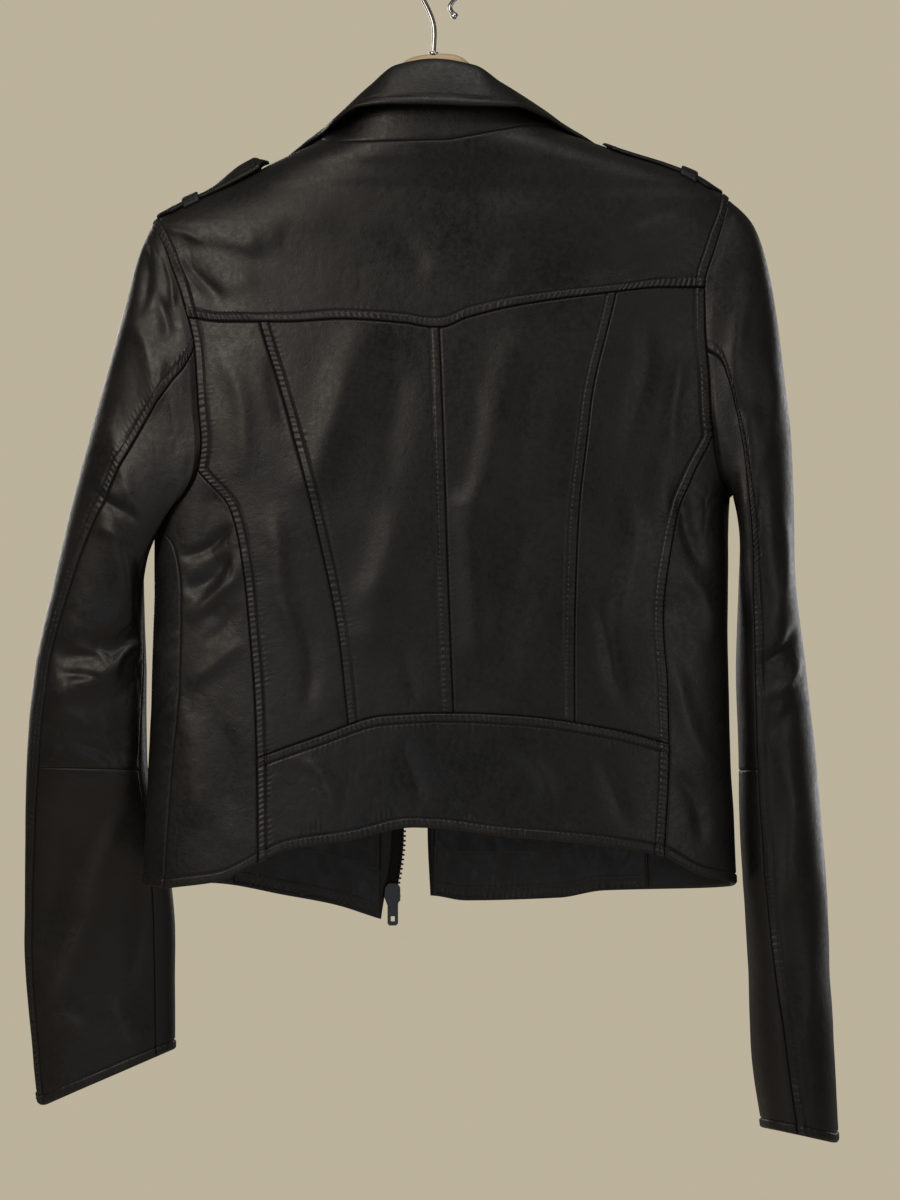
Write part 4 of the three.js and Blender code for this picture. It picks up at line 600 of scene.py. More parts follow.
# Smaller folds: a line that may bow, its half width, its height, and which face it is on.
CREASES = {
    "back": table(
        "x1 z1 x2 z2 bow wide out",
        # yoke, from the shoulder tips inward
        (-190, -59, -161, -72, 1, 3.2, 0.7), (-180, -73, -112, -87, 3, 8, -0.55),
        (-179, -77, -165, -106, -2, 3.2, 0.7), (-173, -82, -150, -110, -3, 4.5, -0.8),
        (-134, -64, -106, -70, 2, 9, 0.5), (-152, -102, -124, -100, 2, 8, 0.5),
        (-120, -52, -70, -60, 4, 9, 0.5),
        (186, -56, 140, -66, -4, 6, 1.0), (150, -82, 96, -90, 3, 7, -0.7),
        (40, -40, 90, -52, -5, 10, 0.6), (-40, -60, -6, -96, 5, 9, -0.6),
        (60, -70, 40, -104, 3, 7, 0.4),
        # back panels: long soft drags from the yoke towards the waist
        (-146, -150, -132, -230, 5, 7, 1.0), (-112, -150, -100, -205, -4, 6, -0.9),
        (-62, -150, -90, -250, 4, 9, 0.6), (-26, -150, -36, -250, 3, 12, -0.8),
        (-30, -262, -52, -330, 5, 10, 0.9), (-20, -350, -10, -396, -3, 6, -0.5),
        (30, -170, 18, -260, 4, 8, -0.5), (84, -150, 70, -250, -5, 9, 0.7),
        (60, -260, 40, -350, 6, 8, -0.5), (84, -300, 62, -390, -5, 8, 0.6),
        (150, -130, 134, -215, 5, 7, -1.0), (176, -150, 168, -215, -4, 5, 0.9),
        (140, -250, 124, -350, 6, 8, 1.1), (118, -320, 136, -396, -4, 6, -0.9),
        (-110, -260, -96, -350, -5, 7, 1.0), (-92, -330, -86, -400, 3, 6, -0.8),
        # band
        (-90, -430, -70, -470, 4, 6, 0.8), (-20, -420, -6, -465, -3, 6, -0.7),
        (60, -425, 84, -470, 4, 7, 0.8), (120, -430, 138, -480, -4, 6, -0.7),
        # left side panel below the armpit
        (-142, -272, -176, -292, 3, 4, -1.6), (-142, -290, -172, -316, 3, 6, -1.7),
        (-137, -308, -168, -335, -3, 4.5, 1.5), (-136, -326, -160, -352, 2, 5, -0.7),
        (-133, -354, -171, -382, -3, 6, 0.9), (-176, -392, -166, -478, 3, 9, 0.9),
        (-150, -400, -142, -480, 2, 8, -0.7),
        # small wrinkles beside the left side seam
        (-190, -352, -178, -346, 1, 1.6, 0.5), (-193, -366, -179, -360, 1, 1.6, 0.5),
        (-193, -392, -182, -384, 1, 1.6, 0.5), (-194, -404, -182, -397, 1, 1.6, 0.5),
        (-196, -440, -184, -436, 1, 1.8, 0.4), (-196, -470, -186, -462, 1, 1.8, 0.4),
        # right side panel
        (172, -238, 190, -300, -5, 6, -1.5), (176, -300, 196, -350, 4, 6, 1.1),
        (168, -360, 196, -440, -6, 7, 1.2), (170, -440, 190, -494, 4, 6, -0.9),
        # left sleeve
        (-203, -70, -204, -120, 2, 4.5, -1.5), (-187, -80, -183, -118, 1, 2.2, 0.9),
        (-192, -108, -187, -142, 1, 5, -1.4), (-188, -152, -198, -188, 1, 3.6, 1.1),
        (-232, -252, -208, -268, 2, 4, -1.0), (-236, -268, -212, -286, 2, 4, 0.9),
        (-212, -120, -196, -190, 5, 6, 1.2), (-226, -190, -204, -262, -5, 7, 1.3),
        (-240, -240, -210, -300, 5, 6, -1.2), (-214, -270, -200, -340, 3, 6, -1.6),
        (-255, -352, -226, -371, 5, 3.2, 1.6), (-226, -371, -205, -352, 3, 3.2, 1.6),
        (-262, -372, -228, -383, 3, 3.4, -1.3), (-272, -398, -238, -412, 3, 5, 0.8),
        (-250, -420, -222, -440, 3, 3.5, -0.8), (-262, -444, -232, -452, -2, 3.2, 0.6),
        (-220, -470, -242, -545, -6, 8, 1.6), (-242, -545, -266, -602, -4, 6, 1.4),
        (-262, -470, -272, -560, 4, 7, -0.9), (-204, -500, -212, -590, 4, 6, -0.8),
        (-268, -610, -246, -628, 3, 5, 0.9), (-222, -600, -206, -640, -3, 5, 0.8),
        # right sleeve
        (222, -90, 212, -180, -4, 6, 1.1), (236, -150, 230, -230, 4, 6, 1.0),
        (216, -230, 219, -330, 2, 5, 1.5), (230, -230, 233, -330, -3, 6, -1.3),
        (246, -260, 240, -340, 4, 6, 0.9), (258, -338, 228, -368, 4, 4, -1.5),
        (260, -360, 230, -392, 4, 4, 1.3), (262, -392, 236, -420, -3, 5, -0.9),
        (250, -440, 244, -540, 4, 7, 1.2), (232, -470, 240, -560, -4, 6, -0.9),
        (262, -560, 256, -650, 4, 6, 0.9), (240, -600, 258, -690, 5, 6, -0.8)),
    "front": table(
        "x1 z1 x2 z2 bow wide out",
        (-150, -110, -110, -180, 6, 9, 1.0), (-120, -200, -76, -290, -6, 9, -1.2),
        (-90, -260, -60, -380, 6, 9, 1.2), (-170, -260, -130, -350, 6, 7, 1.5),
        (-176, -300, -140, -390, -5, 6, -1.3), (-150, -400, -90, -460, 6, 8, 1.1),
        (-60, -400, -52, -500, 3, 7, -0.9), (-120, -470, -70, -510, -4, 7, 0.9),
        (160, -110, 120, -190, -6, 9, 1.0), (140, -210, 104, -310, 6, 9, -1.2),
        (186, -260, 140, -360, -6, 7, 1.5), (120, -330, 96, -440, 6, 9, 1.2),
        (180, -380, 130, -450, 5, 7, -1.2), (60, -300, 40, -420, -5, 9, 0.9),
        (100, -450, 40, -500, 4, 8, -0.9), (170, -470, 120, -510, -4, 7, 0.9),
        (-262, -340, -216, -362, 5, 4, 1.5), (-266, -372, -224, -388, -3, 4, -1.2),
        (-226, -200, -206, -280, 5, 7, 1.2), (-246, -460, -226, -560, 5, 7, 1.2),
        (246, -340, 222, -366, 4, 4, 1.5), (262, -372, 236, -396, -3, 4, -1.2),
        (234, -190, 226, -280, -4, 7, 1.2), (250, -460, 246, -570, 4, 7, 1.1)),
}

# Patches where the leather is finely crumpled: middle, radius and how strongly.
CRUMPLES = {
    "back": table(
        "x z radius strength",
        (-238, -366, 44, 1.0), (-150, -300, 40, 0.8), (236, -372, 42, 0.8),
        (-190, -80, 34, 0.7), (190, -70, 34, 0.5), (182, -260, 40, 0.7),
        (-60, -100, 60, 0.35), (90, -80, 60, 0.3), (-232, -440, 36, 0.5),
        (-250, -610, 40, 0.5), (250, -640, 44, 0.5), (20, -450, 90, 0.35),
        (-80, -450, 60, 0.35), (-190, -400, 40, 0.6), (-212, -200, 50, 0.5)),
    "front": table(
        "x z radius strength",
        (-238, -366, 46, 1.0), (236, -372, 46, 1.0), (-180, -270, 44, 0.8),
        (190, -260, 44, 0.8), (-100, -500, 70, 0.4), (100, -500, 70, 0.4),
        (-130, -120, 60, 0.4), (130, -120, 60, 0.4)),
}


DRAPE = 1.75                  # how strongly the listed folds stand out


def crease_relief(points, normal):
    """The relief of the listed folds and crumpled patches, and of the leather's own unevenness."""
    x, z = points[..., 0], points[..., 2]
    faces = {"back": smoothstep(-normal[..., 1], 0.05, 0.5), "front": smoothstep(normal[..., 1], 0.05, 0.5)}
    relief = 0.85 * noise(points, 55, 1) + 0.32 * noise(points, 24, 2) + 0.06 * noise(points, 10, 3)
    for face, crease in ((face, crease) for face in CREASES for crease in CREASES[face]):
        dx, dz = crease["x2"] - crease["x1"], crease["z2"] - crease["z1"]
        length = math.hypot(dx, dz)
        along = ((x - crease["x1"]) * dx + (z - crease["z1"]) * dz) / length ** 2
        side = ((z - crease["z1"]) * dx - (x - crease["x1"]) * dz) / length
        near = (np.abs(side) < abs(crease["bow"]) + 4 * crease["wide"]) & (along > -0.3) & (along < 1.3)
        if not near.any():
            continue
        bend = crease["bow"] * 4 * np.clip(along, 0, 1) * (1 - np.clip(along, 0, 1))
        wander = 1.6 * line_noise(along * length, 18, 41)
        away = (side - bend - wander) / crease["wide"]
        taper = smoothstep(along, -0.12, 0.3) * (1 - smoothstep(along, 0.7, 1.12))
        lift = DRAPE * crease["out"] * taper * np.exp(-np.abs(away) ** 1.8)
        relief = relief + lift * faces[face] * near
    crumple = 0
    for face, patch in ((face, patch) for face in CRUMPLES for patch in CRUMPLES[face]):
        away = np.hypot(x - patch["x"], z - patch["z"]) / patch["radius"]
        crumple = crumple + patch["strength"] * np.exp(-away * away) * faces[face]
    valleys = np.exp(-(noise(points, 13, 5) / 0.16) ** 2) + 0.6 * np.exp(-(noise(points, 7, 6) / 0.2) ** 2)
    return relief - 0.34 * np.clip(crumple, 0, 1) * valleys


# ---------- to the row frame ----------
def spread(points):
    """Points of the garment with the spread for how far forward they stand."""
    points = np.array(points, float)
    size = 1 + (points[..., 1] - SPREAD["plane"]) / SPREAD["reach"]
    points[..., 0] = SPREAD["x"] + (points[..., 0] - SPREAD["x"]) * size
    points[..., 2] = SPREAD["z"] + (points[..., 2] - SPREAD["z"]) * size
    return points


origin = spread([HOOK["x"], 0, HOOK_RISE])


def to_row(points):
    return (spread(points) - origin) / 1000


# ---------- meshes ----------
def new_object(name, vertices, faces, materials, material_of=None, wear_and_groove_shade=None):
    mesh = bpy.data.meshes.new(name)
    mesh.from_pydata(np.asarray(vertices).tolist(), [], faces)
    for material in materials:
        mesh.materials.append(material)
    mesh.polygons.foreach_set("use_smooth", [True] * len(mesh.polygons))
    if material_of is not None:
        mesh.polygons.foreach_set("material_index", material_of)
    # Per point: wear above 0, painted shade of the grooves below 0, for the leather's colour.
    if wear_and_groove_shade is not None:
        mesh.attributes.new("wear_and_groove_shade", "FLOAT", "POINT").data.foreach_set("value", np.asarray(wear_and_groove_shade, np.float32))
    mesh.update()
    piece = bpy.data.objects.new(name, mesh)
    bpy.context.scene.collection.objects.link(piece)
    return piece


def quads(a, b, c, d):
    return np.stack([a, b, c, d], -1).reshape(-1, 4).tolist()


def wall(name, outer, inner, materials, wear_and_groove_shade=None, coarse=4):
    """A closed wall: a fine outer grid, and an inner one whose cells are `coarse` times larger."""
    rows, columns = outer.shape[:2]
    out_id = np.arange(rows * columns).reshape(rows, columns)
    keep_j = sorted({*range(0, rows, coarse), rows - 1})
    keep_i = sorted({*range(0, columns, coarse), columns - 1})
    used = np.zeros((rows, columns), bool)
    used[np.ix_(keep_j, keep_i)] = True
    used[[0, -1], :] = True
    used[:, [0, -1]] = True
    in_id = np.full((rows, columns), -1)
    in_id[used] = rows * columns + np.arange(used.sum())
    faces = quads(out_id[:-1, :-1], out_id[:-1, 1:], out_id[1:, 1:], out_id[1:, :-1])
    for low, high in zip(keep_j, keep_j[1:]):
        for start, end in zip(keep_i, keep_i[1:]):
            left = range(low, high) if start == 0 else [low]
            top = range(start, end) if high == rows - 1 else [start]
            right = range(high, low, -1) if end == columns - 1 else [high]
            bottom = range(end, start, -1) if low == 0 else [end]
            faces.append([int(in_id[j, start]) for j in left] + [int(in_id[high, i]) for i in top]
                         + [int(in_id[j, end]) for j in right] + [int(in_id[low, i]) for i in bottom])
    inner_faces = len(faces)
    o, n = out_id, in_id
    faces += quads(o[:-1, 0], o[1:, 0], n[1:, 0], n[:-1, 0])
    faces += quads(n[:-1, -1], n[1:, -1], o[1:, -1], o[:-1, -1])
    faces += quads(n[0, :-1], n[0, 1:], o[0, 1:], o[0, :-1])
    faces += quads(o[-1, :-1], o[-1, 1:], n[-1, 1:], n[-1, :-1])
    index = np.zeros(len(faces), int)
    index[(rows - 1) * (columns - 1):inner_faces] = len(materials) - 1
    vertices = np.concatenate([outer.reshape(-1, 3), inner[used]])
    if wear_and_groove_shade is not None:
        wear_and_groove_shade = np.concatenate([wear_and_groove_shade.ravel(), wear_and_groove_shade[used]])
    return new_object(name, to_row(vertices), faces, materials, index, wear_and_groove_shade)


def polyline_at(grid, normal, edge, away):
    """The line on a grid at a distance from one of its edges, with its normals."""
    if edge in ("bottom", "top"):
        grid, normal = grid.transpose(1, 0, 2), normal.transpose(1, 0, 2)
    if edge in ("right", "top"):
        grid, normal = grid[:, ::-1], normal[:, ::-1]
    distance = lengths(grid, 1)
    fits = distance[:, -1] > away * 1.5
    points, ups = [], []
    for row, line, up in zip(distance[fits], grid[fits], normal[fits]):
        points.append([np.interp(away, row, line[:, k]) for k in range(3)])
        ups.append([np.interp(away, row, up[:, k]) for k in range(3)])
    return np.array(points), unit(np.array(ups))


def dashes(points, ups, pitch=STITCH_PITCH, length=2.4, width=0.6, height=0.3, sink=0.2):
    """Stitches along a line: vertices and faces of small arched bars."""
    at = np.append(0, np.cumsum(np.linalg.norm(np.diff(points, axis=0), axis=1)))
    count = int(at[-1] / pitch)
    where = (np.arange(count) + 0.5) * pitch
    sample = lambda values, s: np.stack([np.interp(s, at, values[:, k]) for k in range(3)], -1)
    vertices = []
    for share, wide, high in ((-0.5, 0.5, 0.0), (0.0, 1.0, 1.0), (0.5, 0.5, 0.0)):
        spot = sample(points, where + share * length)
        here = where + share * length
        along = unit(sample(points, here + 0.4) - sample(points, here - 0.4))
        up = sample(ups, where)
        side = unit(np.cross(up, along))
        for across, rise in ((-0.5, 0), (-0.28, 1), (0.28, 1), (0.5, 0)):
            lift = -sink - (1 - rise) * 0.25 + rise * (0.14 + high * (height - 0.14))
            vertices.append(spot + side * (across * wide * width) + up * lift)
    vertices = np.stack(vertices, 1)
    ring = lambda k: [4 * k + m for m in range(4)]
    faces = [[3, 2, 1, 0], [8, 9, 10, 11]]
    for k in (0, 1):
        a, b = ring(k), ring(k + 1)
        faces += [[a[m], a[(m + 1) % 4], b[(m + 1) % 4], b[m]] for m in range(4)]
    everything = [[12 * n + v for v in face] for n in range(count) for face in faces]
    return vertices.reshape(-1, 3), everything


def joined_mesh(name, parts, materials):
    vertices, faces, start = [], [], 0
    for points, cells in parts:
        vertices.append(points)
        faces += [[start + v for v in face] for face in cells]
        start += len(points)
    return new_object(name, to_row(np.concatenate(vertices)), faces, materials)


# ---------- materials ----------
class Net:
    """A material's nodes: each method adds one node and returns its output."""

    def __init__(self, name, **sockets):
        self.material = bpy.data.materials.new(name)
        self.material.use_nodes = True
        self.tree = self.material.node_tree
        self.shader = self.tree.nodes["Principled BSDF"]
        for socket, value in sockets.items():
            self.shader.inputs[socket.replace("_", " ")].default_value = value

    def node(self, kind, inputs=(), **settings):
        node = self.tree.nodes.new(kind)
        for key, value in settings.items():
            setattr(node, key, value)
        for key, value in dict(inputs).items():
            if isinstance(value, bpy.types.NodeSocket):
                self.tree.links.new(value, node.inputs[key])
            else:
                node.inputs[key].default_value = value
        return node

    def place(self, stretch=(1, 1, 1)):
        coordinate = self.node("ShaderNodeTexCoord").outputs["Object"]
        return self.node("ShaderNodeMapping", {"Vector": coordinate, "Scale": stretch}).outputs["Vector"]

    def noise(self, place, scale, detail=3.0, roughness=0.5, distortion=0.0):
        return self.node("ShaderNodeTexNoise", {
            "Vector": place, "Scale": scale, "Detail": detail, "Roughness": roughness,
            "Distortion": distortion}).outputs["Fac"]

    def cells(self, place, scale, feature="F1"):
        return self.node("ShaderNodeTexVoronoi", {"Vector": place, "Scale": scale},
                         feature=feature).outputs["Distance"]

    def wave(self, place, scale, direction, distortion=0.0):
        return self.node("ShaderNodeTexWave", {"Vector": place, "Scale": scale, "Distortion": distortion},
                         bands_direction=direction).outputs["Fac"]

    def math(self, operation, a, b=0.0, clamp=False):
        return self.node("ShaderNodeMath", {0: a, 1: b}, operation=operation, use_clamp=clamp).outputs[0]

    def remap(self, value, low, high, to_low, to_high):
        return self.node("ShaderNodeMapRange", {
            "Value": value, "From Min": low, "From Max": high, "To Min": to_low,
            "To Max": to_high}).outputs[0]

    def mix(self, factor, a, b):
        node = self.node("ShaderNodeMix", {"Factor": factor}, data_type="RGBA")
        for key, value in ((6, a), (7, b)):
            if isinstance(value, bpy.types.NodeSocket):
                self.tree.links.new(value, node.inputs[key])
            else:
                node.inputs[key].default_value = (*value, 1)
        return node.outputs[2]

    def attribute(self, name):
        return self.node("ShaderNodeAttribute", attribute_name=name).outputs["Fac"]

    def bump(self, height, distance, strength=1.0, below=None):
        inputs = {"Height": height, "Distance": distance, "Strength": strength}
        if below is not None:
            inputs["Normal"] = below
        return self.node("ShaderNodeBump", inputs).outputs["Normal"]

    def set(self, socket, value):
        self.tree.links.new(value, self.shader.inputs[socket])


def leather_material(name, dark, light, worn, roughness, creases):
    net = Net(name, Specular_IOR_Level=0.5)
    place = net.place()
    wear_and_groove_shade = net.attribute("wear_and_groove_shade")
    clouds = net.noise(place, 16, 4, 0.55)
    mottle = net.noise(place, 260, 3, 0.6)
    # Below 0 the attribute paints shade: down in the seam and stitch grooves the colour is mixed towards near
    # black, and the leather turned rougher.
    painted_groove_shade = net.math("MULTIPLY", wear_and_groove_shade, -1.0, clamp=True)
    colour = net.mix(net.remap(clouds, 0.35, 0.68, 0, 1), dark, light)
    scuffed = net.math("MULTIPLY", wear_and_groove_shade, net.remap(mottle, 0.3, 0.7, 0.35, 1.0), clamp=True)
    colour = net.mix(scuffed, colour, worn)
    net.set("Base Color", net.mix(painted_groove_shade, colour, (0.0012, 0.0012, 0.0012)))
    gloss = net.math("ADD", net.remap(clouds, 0.3, 0.7, roughness - 0.05, roughness + 0.07),
                     net.remap(mottle, 0.3, 0.7, -0.08, 0.08))
    net.set("Roughness", net.math("ADD", gloss, net.math("MULTIPLY", painted_groove_shade, 0.55), clamp=True))
    grain = net.cells(place, 1250)
    pores = net.noise(place, 2300, 2, 0.5)
    soft = net.noise(place, 120, 4, 0.5, 0.4)
    lines = net.math("ABSOLUTE", net.math("SUBTRACT", net.noise(place, 75, 4, 0.5, 0.7), 0.5))
    normal = net.bump(net.remap(lines, 0, 0.03, 0, 1), 0.00014 * creases, 0.22)
    normal = net.bump(soft, 0.0006 * creases, 0.4, normal)
    normal = net.bump(grain, 0.00009, 0.55, normal)
    net.set("Normal", net.bump(pores, 0.00005, 0.45, normal))
    return net.material


def lining_material():
    net = Net("lining_satin", Specular_IOR_Level=0.4, Sheen_Weight=0.25, Sheen_Roughness=0.4)
    place = net.place()
    # The colour is the satin's own near black, lifted a little as painted light so that the shaded inside
    # faces of the jacket show.
    net.set("Base Color", net.mix(net.noise(place, 30, 3), (0.012, 0.012, 0.013), (0.026, 0.025, 0.025)))
    net.set("Roughness", net.remap(net.noise(place, 90, 3), 0.3, 0.7, 0.34, 0.5))
    weave = net.math("MULTIPLY", net.wave(place, 520, "X"), net.wave(place, 520, "Z"))
    normal = net.bump(net.noise(place, 85, 4, 0.6, 0.8), 0.0016, 0.5)
    net.set("Normal", net.bump(weave, 0.00006, 0.4, normal))
    return net.material


def tape_material():
    net = Net("zip_tape_weave", Specular_IOR_Level=0.3, Sheen_Weight=0.2, Sheen_Roughness=0.5)
    place = net.place()
    weave = net.math("MULTIPLY", net.wave(place, 330, "X"), net.wave(place, 410, "Z"))
    net.set("Base Color", net.mix(weave, (0.006, 0.006, 0.007), (0.018, 0.017, 0.018)))
    net.set("Roughness", net.remap(net.noise(place, 300), 0.3, 0.7, 0.72, 0.9))
    net.set("Normal", net.bump(weave, 0.0002, 0.7))
    return net.material


def thread_material():
    net = Net("stitching_thread", Specular_IOR_Level=0.2)
    place = net.place()
    twist = net.wave(net.place((1, 0.4, 0.7)), 900, "DIAGONAL", 1.0)
    net.set("Base Color", net.mix(twist, (0.004, 0.004, 0.004), (0.013, 0.012, 0.012)))
    net.set("Roughness", net.remap(net.noise(place, 500), 0.3, 0.7, 0.62, 0.8))
    net.set("Normal", net.bump(twist, 0.00012, 0.6))
    return net.material


def metal_material(name, dark, light, low, high, scratch):
    net = Net(name, Metallic=1.0)
    place = net.place()
    cloud = net.noise(place, 160, 4, 0.6)
    net.set("Base Color", net.mix(cloud, dark, light))
    fine = net.noise(net.place(scratch), 700, 3, 0.6)
    net.set("Roughness", net.math("ADD", net.remap(cloud, 0.3, 0.7, low, high),
                                  net.remap(fine, 0.3, 0.7, -0.04, 0.04)))
    net.set("Normal", net.bump(fine, 0.000004, 0.2))
    return net.material


def wood_material():
    net = Net("hanger_beech", Coat_Weight=0.35, Coat_Roughness=0.22)
    along = net.place((0.12, 1.6, 1.0))
    rings = net.noise(along, 70, 5, 0.6, 1.4)
    fleck = net.noise(net.place((0.16, 2.2, 2.2)), 900, 3, 0.6)
    colour = net.mix(net.remap(rings, 0.32, 0.68, 0, 1), (0.50, 0.335, 0.185), (0.68, 0.50, 0.31))
    darker = net.mix(net.remap(fleck, 0.56, 0.72, 0, 0.45), colour, (0.36, 0.22, 0.11))
    net.set("Base Color", darker)
    net.set("Roughness", net.remap(rings, 0.3, 0.7, 0.36, 0.5))
    net.set("Normal", net.bump(fleck, 0.00006, 0.5, net.bump(rings, 0.0002, 0.4)))
    return net.material


LEATHER_LOOK = leather_material("black_nappa", (0.0058, 0.0056, 0.0053), (0.0108, 0.0102, 0.0096),
                                (0.036, 0.033, 0.029), 0.43, 1.0)
# The facing is the same black leather, with its colour painted about twice as light as painted light for the
# shade inside the fronts and behind the collar stand.
FACING_LOOK = leather_material("facing_leather", (0.012, 0.0115, 0.0115), (0.021, 0.020, 0.019),
                               (0.040, 0.037, 0.034), 0.42, 1.4)
LINING_LOOK = lining_material()
TAPE_LOOK = tape_material()
THREAD_LOOK = thread_material()
ZIP_LOOK = metal_material("dark_nickel", (0.055, 0.052, 0.048), (0.13, 0.122, 0.112), 0.26, 0.4, (1, 1, 8))
STEEL_LOOK = metal_material("plated_wire", (0.50, 0.50, 0.49), (0.72, 0.72, 0.70), 0.14, 0.24, (8, 8, 1))
WOOD_LOOK = wood_material()
BOTH_LEATHER = [LEATHER_LOOK, LEATHER_LOOK]


# ---------- dressing pieces ----------
stitch_lines = {}
NARROWEST = 10                # mm, the least width worked out for a cut's flat sheet, which is not used


# From which height in mm wear shows, how fast it grows and where it stops; the same for the painted shade
# down in the grooves.
WEAR_AND_GROOVE_SHADE = {"folds": {"from": 0.25, "grows": 0.24, "most": 0.45}, "bands": {"from": 0.4, "grows": 0.2},
        "grooves": {"from": 0.12, "grows": 1.1}}


def wear_and_groove_shade_of(relief, edges_relief):
    """Above 0 where the leather stands proud and is worn lighter; below 0 down in its grooves, where it marks
    painted shade.
    """
    folds, bands, grooves = WEAR_AND_GROOVE_SHADE["folds"], WEAR_AND_GROOVE_SHADE["bands"], WEAR_AND_GROOVE_SHADE["grooves"]
    proud = (np.clip((relief - folds["from"]) * folds["grows"], 0, folds["most"])
             + np.clip(edges_relief - bands["from"], 0, 1) * bands["grows"])
    return proud - np.clip(-edges_relief * grooves["grows"] - grooves["from"], 0, 1)


def declare(piece, grid, nodes):
    """Puts the piece on the jacket's body and hides its CAD nodes; the width and length of its flat sheet are
    worked out but not used.
    """
    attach(piece, "jacket")
    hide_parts(*nodes)
    width = max(math.ceil(lengths(grid, 1)[:, -1].max()), NARROWEST) / 1000
    length = math.ceil(lengths(grid, 0)[-1].max()) / 1000


def dress(node, grid, edges, nodes=None, seed=1, out=0.0, thick=LEATHER, group="body",
          looks=None, folds=1.0, coarse=4, lap=SEAM_LAP, top_normals=None):
    """Makes a leather piece from its smooth grid."""
    base = draw_in(grid, -lap)
    normal = normals(base)
    if top_normals is not None:
        away = edge_frames(base)["top"][0][..., None]
        normal = unit(lerp(top_normals[None], normal, smoothstep(away, 0, 6)))
    base = base + normal * out
    seams = seam_relief(base, edges, seed)
    creases = crease_relief(base, normal) * folds
    relief = seams + creases
    outer = base + normal * relief[..., None]
    inner = base + normal * (0.6 * creases - thick)[..., None]
    piece = wall(f"{node}_leather", outer, inner, looks or [LEATHER_LOOK, LINING_LOOK],
                 wear_and_groove_shade_of(relief, seams), coarse)
    declare(piece, base, nodes or [node])
    for edge, look in edges.items():
        if SEAM_LOOKS[look]["stitch"]:
            points, ups = polyline_at(outer, normal, edge, SEAM_LOOKS[look]["stitch"])
            stitch_lines.setdefault(group, []).append((points, ups))
    return piece


# Edges of the body's pieces, and their cells across and up in mm.
BODY_PIECES = {
    "back_yoke": ({"bottom": "strong", "left": "stitched", "right": "stitched"}, 1.15, 2.4),
    "back_side_left": ({"left": "strong", "top": "under"}, 2.2, 1.1),
    "back_side_right": ({"right": "strong", "top": "under"}, 2.2, 1.1),
    "back_centre_left": ({"left": "stitched", "right": "stitched", "top": "under"}, 2.4, 1.15),
    "back_centre_right": ({"right": "stitched", "top": "under"}, 2.4, 1.15),
    "back_band": ({"bottom": "hem", "top": "strong", "left": "strong", "right": "strong"}, 1.05, 1.3),
    "side_panel_left": ({"bottom": "hem"}, 1.7, 1.5),
    "side_panel_right": ({"bottom": "hem"}, 1.7, 1.5),
    "front_left": ({"bottom": "hem", "left": "edge"}, 2.6, 3.0),
    "front_right": ({"bottom": "hem", "right": "edge"}, 2.6, 3.0),
}


def make_body():
    for seed, (name, (edges, across, up)) in enumerate(BODY_PIECES.items(), 1):
        grid = even_grid(lambda s, t: body_point(*BODY_REGIONS[name](s, t)), across, up, edges)
        group = "back" if name.startswith("back") else "sides"
        dress(name, grid, edges, seed=seed, group=group)


# ---------- sleeves ----------
sleeve_at = {side: {column: follow(SLEEVE[side], "ring", column)
                    for column in SLEEVE[side][0] if column != "ring"}
             for side in SIDES}


def sleeve_point(side, ring, turn):
    """A point of the sleeve: ring from the armhole down, turn in radians from its outer line to the back."""
    at = sleeve_at[side]

    def oval(ring):
        ox, oz, ix, iz = (at[key](ring) for key in ("ox", "oz", "ix", "iz"))
        reach = rounded(np.cos(turn), SLEEVE_SQUARE)
        y = at["y"](ring) - at["deep"](ring) * rounded(np.sin(turn), SLEEVE_SQUARE)
        return np.stack([(ox + ix) / 2 + (ox - ix) / 2 * reach, y, (oz + iz) / 2 + (oz - iz) / 2 * reach], -1)
    phi, z = armhole_place(side, turn)
    point = oval(ring) + (body_point(phi, z) - oval(0 * ring)) * at["fit"](ring)[..., None]
    under = smoothstep(-np.cos(turn), 0, 0.8)
    roll = smoothstep(ring, 0, 0.4) * (1 - smoothstep(ring, 1, 3)) * lerp(HEAD_ROLL, PIT_ROLL, under)
    point = point + body_normal(phi, z) * roll[..., None]
    folds = np.where(np.sin(turn) > 0, fold_lift(point[..., 0], point[..., 2], FOLDS["back"]),
                     fold_lift(point[..., 0], point[..., 2], FOLDS["front"]))
    lift = folds * smoothstep(np.abs(np.sin(turn)), 0.2, 0.8) * np.clip(ring, 0, 1)
    point[..., 1] -= np.sign(np.sin(turn)) * lift
    return point


def seam_station(side):
    """The armhole's turn, in degrees, at which the sleeve's back seam starts."""
    turns = np.degrees(np.concatenate([
        np.linspace(0, yoke_turn[side], 7), np.linspace(yoke_turn[side], panel_turn[side], 6),
        np.linspace(panel_turn[side], math.pi, 4)]))
    return float(turns[np.argmin(np.abs(turns - sleeve_at[side]["seam"](0.0)))])


CUFF_CORNER = {"left": 0.12, "right": 0.03, "half": 14}     # its rise in rings, and half its width in degrees


